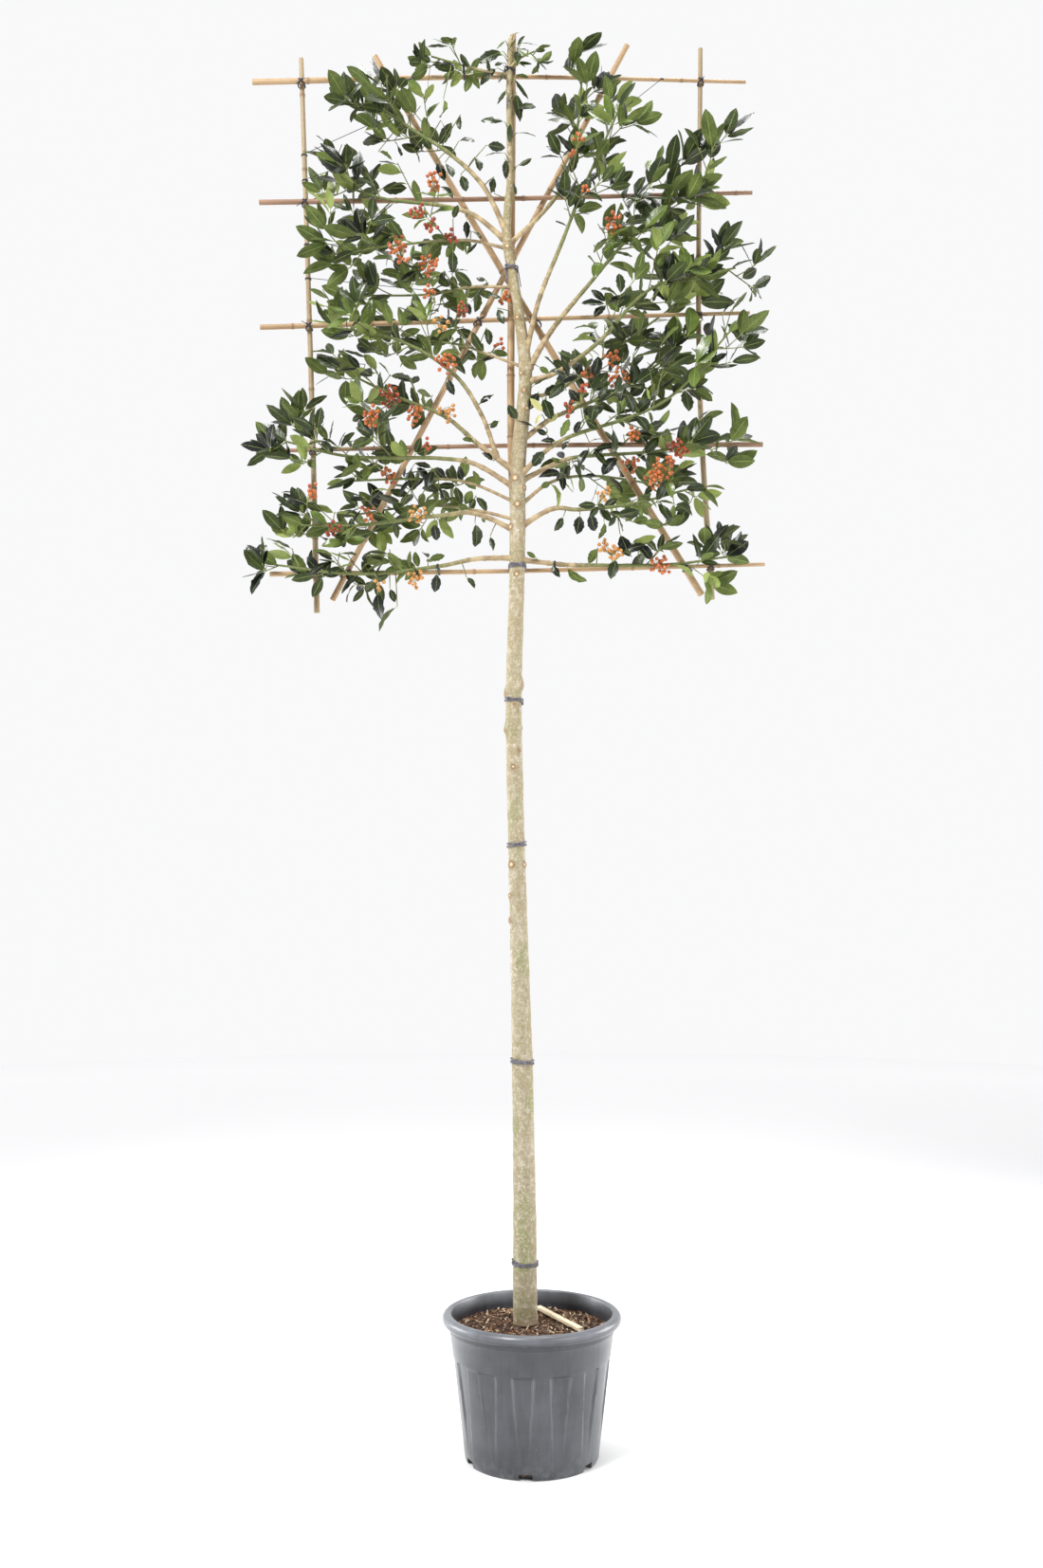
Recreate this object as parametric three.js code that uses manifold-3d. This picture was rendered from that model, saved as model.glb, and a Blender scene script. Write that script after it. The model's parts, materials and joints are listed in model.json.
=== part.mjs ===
// A pleached holly tree: a clear stem in a nursery pot, with boughs trained to both sides of a
// bamboo frame and sprays of leaves and berries growing on from them.
// Millimetres. +X to the right, +Y to the back, +Z up, origin at the centre of the pot's flat underside.

import * as THREE from 'three';
import { mergeVertices } from 'three/addons/utils/BufferGeometryUtils.js';
import Module from 'manifold-3d';

const wasm = await Module();
wasm.setup();

// ---------------------------------------------------------------- sizes

const GAP = 0.3; // between two pieces that touch

const POT = {
  height: 342,
  footRadius: 161,
  shoulderRadius: 202,
  lipRadius: 217,
  lipHeight: 26,
  bandHeight: 72,
  wall: 3.5,
  floor: 4,
  flutes: 13,
  fluteDepth: 3,
  notches: 6,
  notchTurn: -0.092,
  notchWidth: 32,
  notchHeight: 15,
  notchDepth: 10,
};

const SOIL = { top: 310, flatRadius: 150, roughness: 5 };

const SLAT = { from: [16, 136], to: [118, -60], width: 14, thickness: 8 };

// Centre and radius of the trunk, from the flat cut on the soil, up through the fork, to the cut tip.
const TRUNK = [
  { x: -16, y: 0, z: SOIL.top + GAP, r: 32.5 },
  { x: -16, y: 0, z: 345, r: 30 },
  { x: -17, y: 0, z: 530, r: 28.5 },
  { x: -23, y: 0, z: 942, r: 25.5 },
  { x: -30, y: 0, z: 1219, r: 22.7 },
  { x: -37, y: 0, z: 1477, r: 21 },
  { x: -44, y: 0, z: 1831, r: 19.8 },
  { x: -36, y: 0, z: 2150, r: 19.4 },
  { x: -34, y: 0, z: 2300, r: 20.6 },
  { x: -32, y: 0, z: 2457, r: 18.6 },
  { x: -15, y: 0, z: 2652, r: 16.6 },
  { x: -25, y: 0, z: 2774, r: 14.4 },
  { x: -47, y: 2, z: 2922, r: 13.6 },
  { x: -63, y: 4, z: 3034, r: 12 },
  { x: -54, y: 6, z: 3171, r: 8.6 },
  { x: -57, y: 8, z: 3396, r: 7.5 },
  { x: -54, y: 10, z: 3557, r: 6 },
];
const TRUNK_SIDES = 10;
const BOUGH_SIDES = 6;

// The cane that stands behind the trunk, from the soil to above the tip.
const CENTRE_CANE = {
  name: 'cane_centre',
  points: [
    [-17, 46.5, SOIL.top + GAP], [-31, 37, 1219], [-38, 33, 2150],
    [-51, 32, 2491], [-51, 32, 2912], [-47, 32, 3572],
  ],
  radii: [10.5, 10.5, 10.3, 10, 9.5, 8.5],
};

// Level canes: height at the left end, at the middle and at the right end.
const RAILS = [
  { name: 'cane_level_1', left: [-664, 2163], middle: [-37, 2171], right: [593, 2188], radii: [7, 6, 5] },
  { name: 'cane_level_2', left: [-670, 2481], middle: [-37, 2495], right: [591, 2498], radii: [5, 6, 7] },
  { name: 'cane_level_3', left: [-696, 2804], middle: [-59, 2824], right: [561, 2842], radii: [7, 6, 5] },
  { name: 'cane_level_4', left: [-702, 3134], middle: [-59, 3144], right: [571, 3160], radii: [7, 6.3, 5.5] },
  { name: 'cane_level_5', left: [-723, 3455], middle: [-60, 3469], right: [557, 3455], radii: [8, 6, 4.5] },
];

// Upright and slanting canes, tied to the back of the level ones.
const UPRIGHTS = [
  {
    name: 'cane_upright_left', radii: [7.8, 7, 6.3],
    low: [-546, 2067], middle: [-565, 2640], high: [-600, 3528],
  },
  {
    name: 'cane_upright_right', radii: [8, 7, 6],
    low: [460, 2101], middle: [433, 2660], high: [442, 3554],
  },
  {
    name: 'cane_slant_right', radii: [7.8, 7.8, 7.4],
    low: [-507, 2099], middle: [-80, 2927], high: [251, 3564],
  },
];
const BACK_SLANT = {
  name: 'cane_slant_left', radii: [9.3, 8.8, 8], bow: 0.4,
  low: [434, 2112], middle: [-80, 2975], high: [-407, 3534],
};

const CANE_SIDES = 8;

// Rubber ties round the trunk and the centre cane.
const TIES = { heights: [457, 942, 1474, 1834, 2940], tall: 16, thickness: 3, slack: 0.4, corners: 5 };

// Limbs, by side and in order up the trunk. `from` is the height at which a limb leaves the trunk's centre,
// `knee` is where it turns outward, `tip` is where the bare bough ends, and `end` is the far end of
// its foliage, past a `bend` where it has one. A limb with no `tip` is a spray straight off the trunk.
// `twigs` is the number of side twigs, `spread` the longest of them, `hang` how far they droop,
// and `fruit` the number of berries.
const LIMBS = [
  { name: 'left_1', from: 2194, knee: [-140, -18, 2187], tip: [-225, -26, 2168], bend: [-430, -34, 2146],
    end: [-640, -40, 2168], girth: 7, twigs: 8, spread: 80, hang: -0.1, fruit: 2 },
  { name: 'left_2', from: 2260, knee: [-144, -26, 2301], tip: [-234, -48, 2289], bend: [-440, -58, 2262],
    end: [-570, -62, 2262], girth: 7, twigs: 6, spread: 100, hang: 0.2, fruit: 2 },
  { name: 'left_3', from: 2290, knee: [-150, 20, 2322], bend: [-280, 72, 2345],
    end: [-450, 122, 2335], girth: 5.5, twigs: 6, spread: 100, hang: 0.3, fruit: 1 },
  { name: 'left_4', from: 2333, knee: [-165, -6, 2386], bend: [-300, -12, 2392],
    end: [-470, -16, 2385], girth: 5.5, twigs: 5, spread: 90, hang: 0.3, fruit: 2 },
  { name: 'left_5', from: 2368, knee: [-144, -34, 2425], tip: [-225, -62, 2430], bend: [-460, -78, 2432],
    end: [-610, -74, 2470], girth: 7, twigs: 8, spread: 85, hang: 0.1, fruit: 1 },
  { name: 'left_6', from: 2408, knee: [-132, 4, 2483], tip: [-216, 8, 2556], bend: [-350, 4, 2612],
    end: [-490, 0, 2680], girth: 8, twigs: 7, spread: 120, hang: 0.2, fruit: 2 },
  { name: 'left_7', parent: 'left_6', share: 0.13, knee: [-125, -26, 2551], tip: [-192, -44, 2648],
    bend: [-330, -60, 2730], end: [-505, -66, 2765], girth: 6, twigs: 7, spread: 120, hang: 0.2, fruit: 2 },
  { name: 'left_8', from: 2681, knee: [-112, 14, 2722], bend: [-192, 60, 2764],
    end: [-380, 122, 2805], girth: 5, twigs: 6, spread: 110, hang: 0.2, fruit: 1 },
  { name: 'left_9', from: 2890, knee: [-150, 12, 2896], bend: [-262, 76, 2902],
    end: [-490, 118, 2915], girth: 5, twigs: 6, spread: 110, hang: 0.3, fruit: 2 },
  { name: 'left_10', from: 2992, knee: [-165, -16, 3006], bend: [-320, -40, 2985],
    end: [-500, -60, 2950], girth: 5, twigs: 7, spread: 120, hang: 0.2, fruit: 3 },
  { name: 'left_11', from: 3010, knee: [-146, 6, 3081], tip: [-218, 10, 3106], bend: [-380, 12, 3128],
    end: [-500, 14, 3170], girth: 7, twigs: 7, spread: 105, hang: 0.1, fruit: 2 },
  { name: 'left_12', from: 3036, knee: [-126, -10, 3155], tip: [-206, -22, 3228], bend: [-310, -28, 3295],
    end: [-405, -30, 3360], girth: 7, twigs: 8, spread: 110, hang: 0.1, fruit: 1 },
  { name: 'top_left', from: 3453, knee: [-120, -14, 3452], bend: [-190, -22, 3466],
    end: [-255, -28, 3482], girth: 4, twigs: 3, spread: 65, hang: 0.2, fruit: 0 },
  { name: 'top_right', from: 3470, knee: [-30, -14, 3484],
    end: [8, -24, 3498], girth: 4, twigs: 3, spread: 50, hang: 0.6, fruit: 0 },
  { name: 'right_1', from: 2190, knee: [82, -12, 2174], tip: [145, -20, 2171], bend: [360, -30, 2172],
    end: [490, -34, 2190], girth: 7, twigs: 5, spread: 80, hang: 0.15, fruit: 2 },
  { name: 'right_2', from: 2270, knee: [56, -26, 2313], tip: [115, -40, 2307], bend: [250, -54, 2318],
    end: [385, -62, 2352], girth: 7.5, twigs: 5, spread: 90, hang: 0.7, fruit: 1 },
  { name: 'right_3', from: 2322, knee: [46, 10, 2388], bend: [150, 62, 2420],
    end: [350, 122, 2410], girth: 6.5, twigs: 5, spread: 105, hang: 0.1, fruit: 1 },
  { name: 'right_4', from: 2386, knee: [70, 12, 2442], tip: [110, 6, 2452], bend: [290, -14, 2460],
    end: [455, -24, 2480], girth: 7, twigs: 8, spread: 110, hang: 0.1, fruit: 3 },
  { name: 'right_5', from: 2398, knee: [34, -36, 2455], tip: [84, -48, 2484], bend: [330, -62, 2575],
    end: [500, -52, 2760], girth: 7, twigs: 9, spread: 115, hang: 0.1, fruit: 1 },
  { name: 'right_6', from: 2489, knee: [50, 10, 2553], tip: [95, 12, 2574], bend: [250, 8, 2645],
    end: [390, 0, 2775], girth: 7, twigs: 8, spread: 115, hang: 0.1, fruit: 2 },
  { name: 'right_7', from: 2604, knee: [60, 8, 2622], bend: [200, 70, 2742],
    end: [430, 122, 2930], girth: 6.5, twigs: 7, spread: 115, hang: 0.1, fruit: 1 },
  { name: 'right_8', from: 2643, knee: [62, -20, 2662], tip: [165, -40, 2730], bend: [300, -54, 2865],
    end: [510, -62, 2915], girth: 7.5, twigs: 8, spread: 120, hang: 0.1, fruit: 2 },
  { name: 'right_9', from: 2662, knee: [45, 4, 2770], tip: [150, 8, 2905], bend: [275, 13, 3050],
    end: [455, 16, 3180], girth: 8.5, twigs: 9, spread: 125, hang: 0.1, fruit: 2 },
  { name: 'right_10', from: 2700, knee: [18, -34, 2840], tip: [78, -48, 2990], bend: [125, -54, 3110],
    end: [225, -60, 3335], girth: 7, twigs: 7, spread: 100, hang: 0.1, fruit: 1 },
  { name: 'right_11', from: 3000, knee: [16, 2, 3072], tip: [72, 8, 3146], bend: [112, 8, 3270],
    end: [130, 4, 3440], girth: 6.5, twigs: 6, spread: 80, hang: 0.1, fruit: 1 },
];

// Growth of a spray.
const SPRAY = {
  stemTip: 5, // radius of a stem where its bough ends
  stemEnd: 3, // radius of a stem at its far end
  twigRadius: 2.4,
  twigEnd: 2,
  firstTwig: 0.04, // share of the stem before its first twig
  bareStem: 0.24, // the same on a stem straight off the trunk
  shorter: 0.35, // how much shorter the last twig is than the first
  trims: [1, 0.7, 0.45], // shares of a twig's length that are tried in turn
  twigRoom: 8, // from one twig to the next
  leafSeed: 103, // of the first spray's leaves
  stemSides: 3,
  leafPitch: 50, // along a twig, from one leaf to the next
  stemLeafPitch: 80,
  rosette: 2, // leaves at the end of a twig
  tries: 6,
  leafRoom: 35, // from the middle of one leaf to the middle of the next
  leafLength: 112,
  leafWidth: 60,
  leafThickness: 3,
  leafCurl: 9, // how far the tip of a leaf bends down
  berryRadius: 9,
  berryOffset: 5.5,
  reach: 215, // furthest a spray goes from its own stem
  depth: 172, // furthest in front of and behind the frame
  left: -712,
  right: 606,
  top: 3578,
  clearOfOthers: 5, // nearer to its own stem than to any other
  clearOfLimbs: 7,
  finest: 0.05, // edges shorter than this are closed up
};
// Shares of the limb's own direction, of the sideways one and of up in the aim of a twig or a leaf.
const TWIG_LEAN = { ahead: 0.65, out: 0.9, up: 0.2, hang: 0.7 };
const LEAF_LEAN = { ahead: 0.75, up: -0.15, innermost: 0.05, outward: 0.9, wider: 0.2 };
const GOLDEN_ANGLE = Math.PI * (3 - Math.sqrt(5));
const UP = new THREE.Vector3(0, 0, 1);

const COLOURS = {
  bark: 0xa59a80,
  bough: 0x8c8a66,
  bamboo: 0xc9a877,
  rubber: 0x3a3d42,
  pot: 0x3c434b,
  soil: 0x4a3527,
  slat: 0xd9c7a0,
  leaf: 0x2f5a2a,
};

// ---------------------------------------------------------------- solids and meshes

function toSolid(geometry) {
  const bare = geometry.clone();
  bare.deleteAttribute('normal');
  bare.deleteAttribute('uv');
  const merged = mergeVertices(bare, 1e-3);
  return new wasm.Manifold(new wasm.Mesh({
    numProp: 3,
    vertProperties: new Float32Array(merged.attributes.position.array),
    triVerts: new Uint32Array(merged.index.array),
  }));
}

function toGeometry(solid) {
  const mesh = solid.getMesh();
  const geometry = new THREE.BufferGeometry();
  geometry.setAttribute('position', new THREE.BufferAttribute(mesh.vertProperties, 3));
  geometry.setIndex(new THREE.BufferAttribute(mesh.triVerts, 1));
  geometry.computeVertexNormals();
  return geometry;
}

const tree = new THREE.Group();

function addPart(name, geometry, color, roughness = 0.8) {
  const mesh = new THREE.Mesh(geometry, new THREE.MeshStandardMaterial({ color, roughness, metalness: 0 }));
  mesh.name = name;
  tree.add(mesh);
}

function evenRows(from, to, count) {
  return Array.from({ length: count + 1 }, (_, i) => from + ((to - from) * i) / count);
}

// A round limb along a smooth line, with a radius at each of its points.
class Limb {
  constructor(points, radii) {
    this.curve = new THREE.CatmullRomCurve3(points.map((p) => new THREE.Vector3(...p)), false, 'centripetal');
    this.radii = radii;
  }

  radius(t) {
    const last = this.radii.length - 1;
    const k = Math.min(Math.floor(t * last), last - 1);
    return THREE.MathUtils.lerp(this.radii[k], this.radii[k + 1], t * last - k);
  }

  at(t) {
    return this.curve.getPoint(t);
  }

  // The point at a share of the line, on the straight lengths between its rows.
  onRows(rows, t) {
    const k = Math.min(Math.max(rows.findIndex((row) => row > t), 1), rows.length - 1);
    const share = (t - rows[k - 1]) / (rows[k] - rows[k - 1]);
    return this.at(rows[k - 1]).lerp(this.at(rows[k]), share);
  }

  // The share of the line at which it reaches a value of one coordinate, which must grow or shrink steadily.
  shareAt(axis, value) {
    const rising = this.at(1)[axis] > this.at(0)[axis];
    let [low, high] = [0, 1];
    for (let i = 0; i < 40; i += 1) {
      const middle = (low + high) / 2;
      const below = this.at(middle)[axis] < value;
      if (below === rising) low = middle;
      else high = middle;
    }
    return (low + high) / 2;
  }

  geometry(rows, sides, extra = 0) {
    const steps = rows.length - 1;
    const rings = [];
    let normal = new THREE.Vector3(0, 1, 0);
    for (const t of rows) {
      const ahead = this.curve.getTangent(t);
      if (Math.abs(normal.dot(ahead)) > 0.95) normal = new THREE.Vector3(1, 0, 0);
      normal = normal.clone().addScaledVector(ahead, -normal.dot(ahead)).normalize();
      const side = normal.clone().cross(ahead);
      rings.push({ centre: this.at(t), normal, side, radius: this.radius(t) + extra });
    }
    const shape = new THREE.CylinderGeometry(1, 1, 1, sides, steps);
    const place = shape.attributes.position;
    for (let i = 0; i < place.count; i += 1) {
      const ring = rings[Math.round((place.getY(i) + 0.5) * steps)];
      const point = ring.centre.clone();
      point.addScaledVector(ring.normal, place.getZ(i) * ring.radius);
      point.addScaledVector(ring.side, -place.getX(i) * ring.radius);
      place.setXYZ(i, point.x, point.y, point.z);
    }
    return shape;
  }

  // Short straight lengths with their radii, to measure distances from.
  lengths(rows) {
    return rows.slice(1).map((t, i) => ({
      a: this.at(rows[i]),
      b: this.at(t),
      r: Math.max(this.radius(rows[i]), this.radius(t)),
    }));
  }
}

function distanceTo(length, point) {
  const along = length.b.clone().sub(length.a);
  const offset = point.clone().sub(length.a);
  const share = THREE.MathUtils.clamp(offset.dot(along) / along.lengthSq(), 0, 1);
  return offset.addScaledVector(along, -share).length();
}

// A repeatable row of random numbers.
function chance(seed) {
  let state = (seed * 2654435 + 97) % 4294967296;
  return (low, high) => {
    state = (state * 1664525 + 1013904223) % 4294967296;
    return low + ((high - low) * state) / 4294967296;
  };
}

// ---------------------------------------------------------------- pot, soil and slat

function innerRadius(z) {
  const share = (z - POT.floor) / (POT.height - POT.floor);
  return THREE.MathUtils.lerp(POT.footRadius - POT.wall, POT.shoulderRadius - POT.wall, share);
}

// Which of `count` even steps round a lathe a point lies on.
function stepAround(x, z, count) {
  return Math.round((Math.atan2(x, z) / (2 * Math.PI)) * count + count) % count;
}

function potGeometry() {
  const lipFoot = POT.height - POT.lipHeight;
  const bandFoot = lipFoot - POT.bandHeight;
  const outer = (z) => THREE.MathUtils.lerp(POT.footRadius, POT.shoulderRadius, z / lipFoot);
  const flutes = { low: 14, high: bandFoot - 6 };
  const profile = [
    [0, 0], [POT.footRadius, 0],
    [outer(flutes.low), flutes.low],
    [outer(flutes.high), flutes.high], [outer(bandFoot) + 2, bandFoot],
    [POT.shoulderRadius + 2, lipFoot], [POT.lipRadius, lipFoot + 1],
    [POT.lipRadius, POT.height - 5], [POT.lipRadius - 4, POT.height],
    [innerRadius(POT.height), POT.height], [innerRadius(POT.floor), POT.floor], [0, POT.floor],
  ];
  const around = POT.flutes * 3;
  const shape = new THREE.LatheGeometry(profile.map((p) => new THREE.Vector2(...p)), around);
  const place = shape.attributes.position;
  for (let i = 0; i < place.count; i += 1) {
    const [x, z] = [place.getX(i), place.getZ(i)];
    const radius = Math.hypot(x, z);
    const height = place.getY(i);
    const hollow = stepAround(x, z, around) % 3 === 0;
    const outside = radius > innerRadius(height) + POT.wall / 2;
    if (hollow && outside && height >= flutes.low && height <= flutes.high) {
      const scale = (radius - POT.fluteDepth) / radius;
      place.setXYZ(i, x * scale, height, z * scale);
    }
  }
  shape.rotateX(Math.PI / 2);
  let solid = toSolid(shape);
  for (let k = 0; k < POT.notches; k += 1) {
    const notch = new THREE.BoxGeometry(POT.notchWidth, POT.notchDepth * 2, POT.notchHeight * 2);
    notch.translate(0, -POT.footRadius, 0);
    notch.rotateZ(((k + POT.notchTurn) * 2 * Math.PI) / POT.notches);
    solid = solid.subtract(toSolid(notch));
  }
  return toGeometry(solid);
}

function soilGeometry() {
  const rim = SOIL.top - SOIL.roughness;
  const profile = [
    [0, POT.floor + GAP], [innerRadius(POT.floor) - 2 * GAP, POT.floor + GAP],
    [innerRadius(rim) - 2 * GAP - 1, rim], [175, SOIL.top - 2], [SOIL.flatRadius, SOIL.top], [0, SOIL.top],
  ];
  const around = 20;
  const shape = new THREE.LatheGeometry(profile.map((p) => new THREE.Vector2(...p)), around);
  const draw = chance(5);
  const heave = Array.from({ length: around }, () => draw(-1, 0.2) * SOIL.roughness);
  const place = shape.attributes.position;
  for (let i = 0; i < place.count; i += 1) {
    const radius = Math.hypot(place.getX(i), place.getZ(i));
    const step = stepAround(place.getX(i), place.getZ(i), around);
    const loose = place.getY(i) > rim - 1 && radius > SOIL.flatRadius + 1 && radius < 180;
    if (loose) place.setY(i, place.getY(i) + heave[step]);
  }
  return shape.rotateX(Math.PI / 2);
}

function slatGeometry() {
  const [x0, y0] = SLAT.from;
  const [x1, y1] = SLAT.to;
  const shape = new THREE.BoxGeometry(Math.hypot(x1 - x0, y1 - y0), SLAT.width, SLAT.thickness);
  shape.rotateZ(Math.atan2(y1 - y0, x1 - x0));
  return shape.translate((x0 + x1) / 2, (y0 + y1) / 2, SOIL.top + GAP + SLAT.thickness / 2);
}

// ---------------------------------------------------------------- trunk, canes and ties

const trunk = new Limb(TRUNK.map((s) => [s.x, s.y, s.z]), TRUNK.map((s) => s.r));
const trunkRows = evenRows(0, 1, (TRUNK.length - 1) * 2);
const trunkCleared = toSolid(trunk.geometry(trunkRows, TRUNK_SIDES, GAP));

function trunkPoint(z) {
  return trunk.at(trunk.shareAt('z', z));
}

function caneRows(limb) {
  return evenRows(0, 1, limb.radii.length - 1);
}

const centreCane = new Limb(CENTRE_CANE.points, CENTRE_CANE.radii);

// Level canes lie against the back of the centre cane.
function makeRail(rail) {
  const z = rail.middle[1];
  const share = centreCane.shareAt('z', z);
  const y = centreCane.at(share).y + centreCane.radius(share) + rail.radii[1] + GAP;
  return new Limb([rail.left, rail.middle, rail.right].map(([x, height]) => [x, y, height]), rail.radii);
}

const rails = RAILS.map(makeRail);

// Depth at which a cane clears the back of every level cane that it crosses.
function depthBehindRails(cane) {
  const flat = new Limb([cane.low, cane.middle, cane.high].map(([x, z]) => [x, 0, z]), cane.radii);
  const depths = rails.map((rail) => {
    const crossing = flat.at(flat.shareAt('z', rail.at(0.5).z));
    const share = rail.shareAt('x', crossing.x);
    return rail.at(share).y + rail.radius(share) + flat.radius(flat.shareAt('z', crossing.z)) + GAP;
  });
  return Math.max(...depths);
}

function makeUpright(cane) {
  const y = depthBehindRails(cane);
  return new Limb([cane.low, cane.middle, cane.high].map(([x, z]) => [x, y, z]), cane.radii);
}

const uprights = UPRIGHTS.map(makeUpright);

// The second slanting cane bows back where it crosses the first.
function makeBackSlant(cane, front) {
  const y = depthBehindRails(cane);
  const crossed = front.at(0.5).y + front.radii[1] + cane.radii[1] + GAP;
  return new Limb([cane.low, cane.middle, cane.high]
    .map(([x, z], i) => [x, i === 1 ? crossed + cane.bow : y, z]), cane.radii);
}

const backSlant = makeBackSlant(BACK_SLANT, uprights[2]);

const canes = [
  [CENTRE_CANE.name, centreCane],
  ...RAILS.map((rail, i) => [rail.name, rails[i]]),
  ...UPRIGHTS.map((cane, i) => [cane.name, uprights[i]]),
  [BACK_SLANT.name, backSlant],
];

// A band drawn tight round two circles: an arc round the back of each, joined by straight runs.
function bandOutline([first, second], extra) {
  const apart = second.centre.clone().sub(first.centre);
  const facing = apart.angle();
  const touch = Math.acos((first.radius - second.radius) / apart.length());
  const arc = ({ centre, radius }, from, to) => {
    const outside = (radius + extra) / Math.cos((to - from) / (2 * TIES.corners));
    const corner = (angle) => new THREE.Vector2(Math.cos(angle), Math.sin(angle)).multiplyScalar(outside);
    return evenRows(from, to, TIES.corners).map((angle) => corner(angle).add(centre));
  };
  return [
    ...arc(first, facing + touch, facing - touch + 2 * Math.PI),
    ...arc(second, facing - touch, facing + touch),
  ];
}

function tieGeometry(z) {
  const circles = [[trunk, trunkRows], [centreCane, caneRows(centreCane)]].map(([limb, rows]) => {
    const [low, high] = [-1, 1].map((end) => limb.shareAt('z', z + (end * TIES.tall) / 2));
    const [foot, top] = [low, high].map((share) => limb.onRows(rows, share));
    const centre = foot.clone().lerp(top, 0.5);
    const lean = Math.hypot(top.x - foot.x, top.y - foot.y) / 2;
    return { centre: new THREE.Vector2(centre.x, centre.y), radius: limb.radius(low) + lean };
  });
  const outer = new THREE.Shape(bandOutline(circles, TIES.slack + TIES.thickness));
  outer.holes.push(new THREE.Path(bandOutline(circles, TIES.slack)));
  const band = new THREE.ExtrudeGeometry(outer, { depth: TIES.tall, bevelEnabled: false });
  return band.translate(0, 0, z - TIES.tall / 2);
}

// ---------------------------------------------------------------- boughs and sprays

function planLimb(row, planned) {
  const parent = row.parent ? planned.find((limb) => limb.name === row.parent) : null;
  const root = parent ? parent.limb.at(row.share) : trunkPoint(row.from);
  const points = [root.toArray(), row.knee, row.tip, row.bend, row.end].filter(Boolean);
  const last = points.length - 1;
  const tip = row.tip ? 2 / last : 0;
  const radii = points.map((_, i) => {
    if (row.tip && i < 2) return THREE.MathUtils.lerp(row.girth, SPRAY.stemTip, i / 2);
    const start = row.tip ? SPRAY.stemTip : row.girth * 0.8;
    const first = row.tip ? 2 : 0;
    return THREE.MathUtils.lerp(start, SPRAY.stemEnd, (i - first) / (last - first));
  });
  return { ...row, limb: new Limb(points, radii), tipShare: tip };
}

const limbs = [];
LIMBS.forEach((row) => limbs.push(planLimb(row, limbs)));

function boughRows(plan) {
  return evenRows(0, plan.tipShare, 4);
}

function boughSolid(plan) {
  const parent = plan.parent && limbs.find((limb) => limb.name === plan.parent);
  const around = parent ? toSolid(parent.limb.geometry(boughRows(parent), BOUGH_SIDES, GAP)) : trunkCleared;
  return toSolid(plan.limb.geometry(boughRows(plan), BOUGH_SIDES)).subtract(around);
}

// The stem of a spray starts a gap beyond the end of its bough.
function stemRows(plan) {
  const nudge = 0.001;
  const pace = plan.limb.at(plan.tipShare + nudge).distanceTo(plan.limb.at(plan.tipShare)) / nudge;
  const start = plan.tipShare > 0 ? plan.tipShare + GAP / pace : 0;
  return evenRows(start, 1, plan.tipShare > 0 ? 5 : 6);
}

const stems = limbs.map((plan) => plan.limb.lengths(stemRows(plan)));
const limbLengths = [
  ...trunk.lengths(trunkRows),
  ...canes.flatMap(([, cane]) => cane.lengths(caneRows(cane))),
  ...limbs.filter((plan) => plan.tip).flatMap((plan) => plan.limb.lengths(boughRows(plan))),
];

// True where every point lies in a spray's own space and clear of trunk, boughs and canes.
function keepsToSpace(index, points) {
  return points.every((point) => {
    const own = Math.min(...stems[index].map((length) => distanceTo(length, point)));
    if (own > SPRAY.reach || Math.abs(point.y) > SPRAY.depth || point.z > SPRAY.top) return false;
    if (point.x < SPRAY.left || point.x > SPRAY.right) return false;
    const others = stems.every((stem, i) => i === index
      || stem.every((length) => distanceTo(length, point) > own + SPRAY.clearOfOthers));
    return others && limbLengths.every((length) => distanceTo(length, point) > length.r + SPRAY.clearOfLimbs);
  });
}

// A direction square to `ahead`, turned round it by `angle`.
function sideways(ahead, angle) {
  const steep = Math.abs(ahead.z) > 0.95;
  const level = ahead.clone().cross(steep ? new THREE.Vector3(0, 1, 0) : UP).normalize();
  const other = level.clone().cross(ahead);
  return level.multiplyScalar(Math.cos(angle)).addScaledVector(other, Math.sin(angle));
}

function mix(...pairs) {
  const sum = new THREE.Vector3();
  pairs.forEach(([vector, weight]) => sum.addScaledVector(vector, weight));
  return sum;
}

// A leaf: a sphere of three by two faces drawn out flat along `aim`, with its ridge towards `face`
// and its tip bent down.
function leafAt(root, aim, face, size) {
  const across = face.clone().cross(aim).normalize();
  const over = aim.clone().cross(across);
  const length = SPRAY.leafLength * size;
  const wide = 0.45 * length;
  const place = (u, v, w) => mix([root, 1], [aim, u], [across, v], [over, w]);
  const bend = (u) => (-SPRAY.leafCurl * size * Math.max(0, u - wide)) / (length - wide);
  const shape = new THREE.SphereGeometry(1, 3, 2);
  const position = shape.attributes.position;
  for (let i = 0; i < position.count; i += 1) {
    const [x, y, z] = [position.getX(i), position.getY(i), position.getZ(i)];
    const u = wide + (y > 0 ? y * (length - wide) : y * wide);
    const v = (-z * SPRAY.leafWidth * size) / (2 * Math.sin(Math.PI / 3));
    const point = place(u, v, -x * SPRAY.leafThickness * (2 / 3) + bend(u));
    position.setXYZ(i, point.x, point.y, point.z);
  }
  const probes = [0.2, 0.4, 0.6, 0.8, 1].flatMap((share) => {
    const half = (SPRAY.leafWidth * size * (share < 0.45 ? share / 0.45 : (1 - share) / 0.55)) / 2;
    return [-half, 0, half].map((v) => place(share * length, v, bend(share * length)));
  });
  return { shape, probes, middle: place(0.6 * length, 0, bend(0.6 * length)) };
}

// A straight twig from `base` along `aim`.
function makeTwig(base, aim, length) {
  const far = mix([base, 1], [aim, length]);
  const limb = new Limb([base.toArray(), far.toArray()], [SPRAY.twigRadius, SPRAY.twigEnd]);
  const probes = evenRows(0.15, 1, 5).map((t) => limb.at(t));
  return { limb, aim, length, probes, solid: toSolid(limb.geometry([0, 1], 3)) };
}

function nearest(points, others) {
  return Math.min(...points.flatMap((point) => others.map((other) => point.distanceTo(other))));
}

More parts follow.
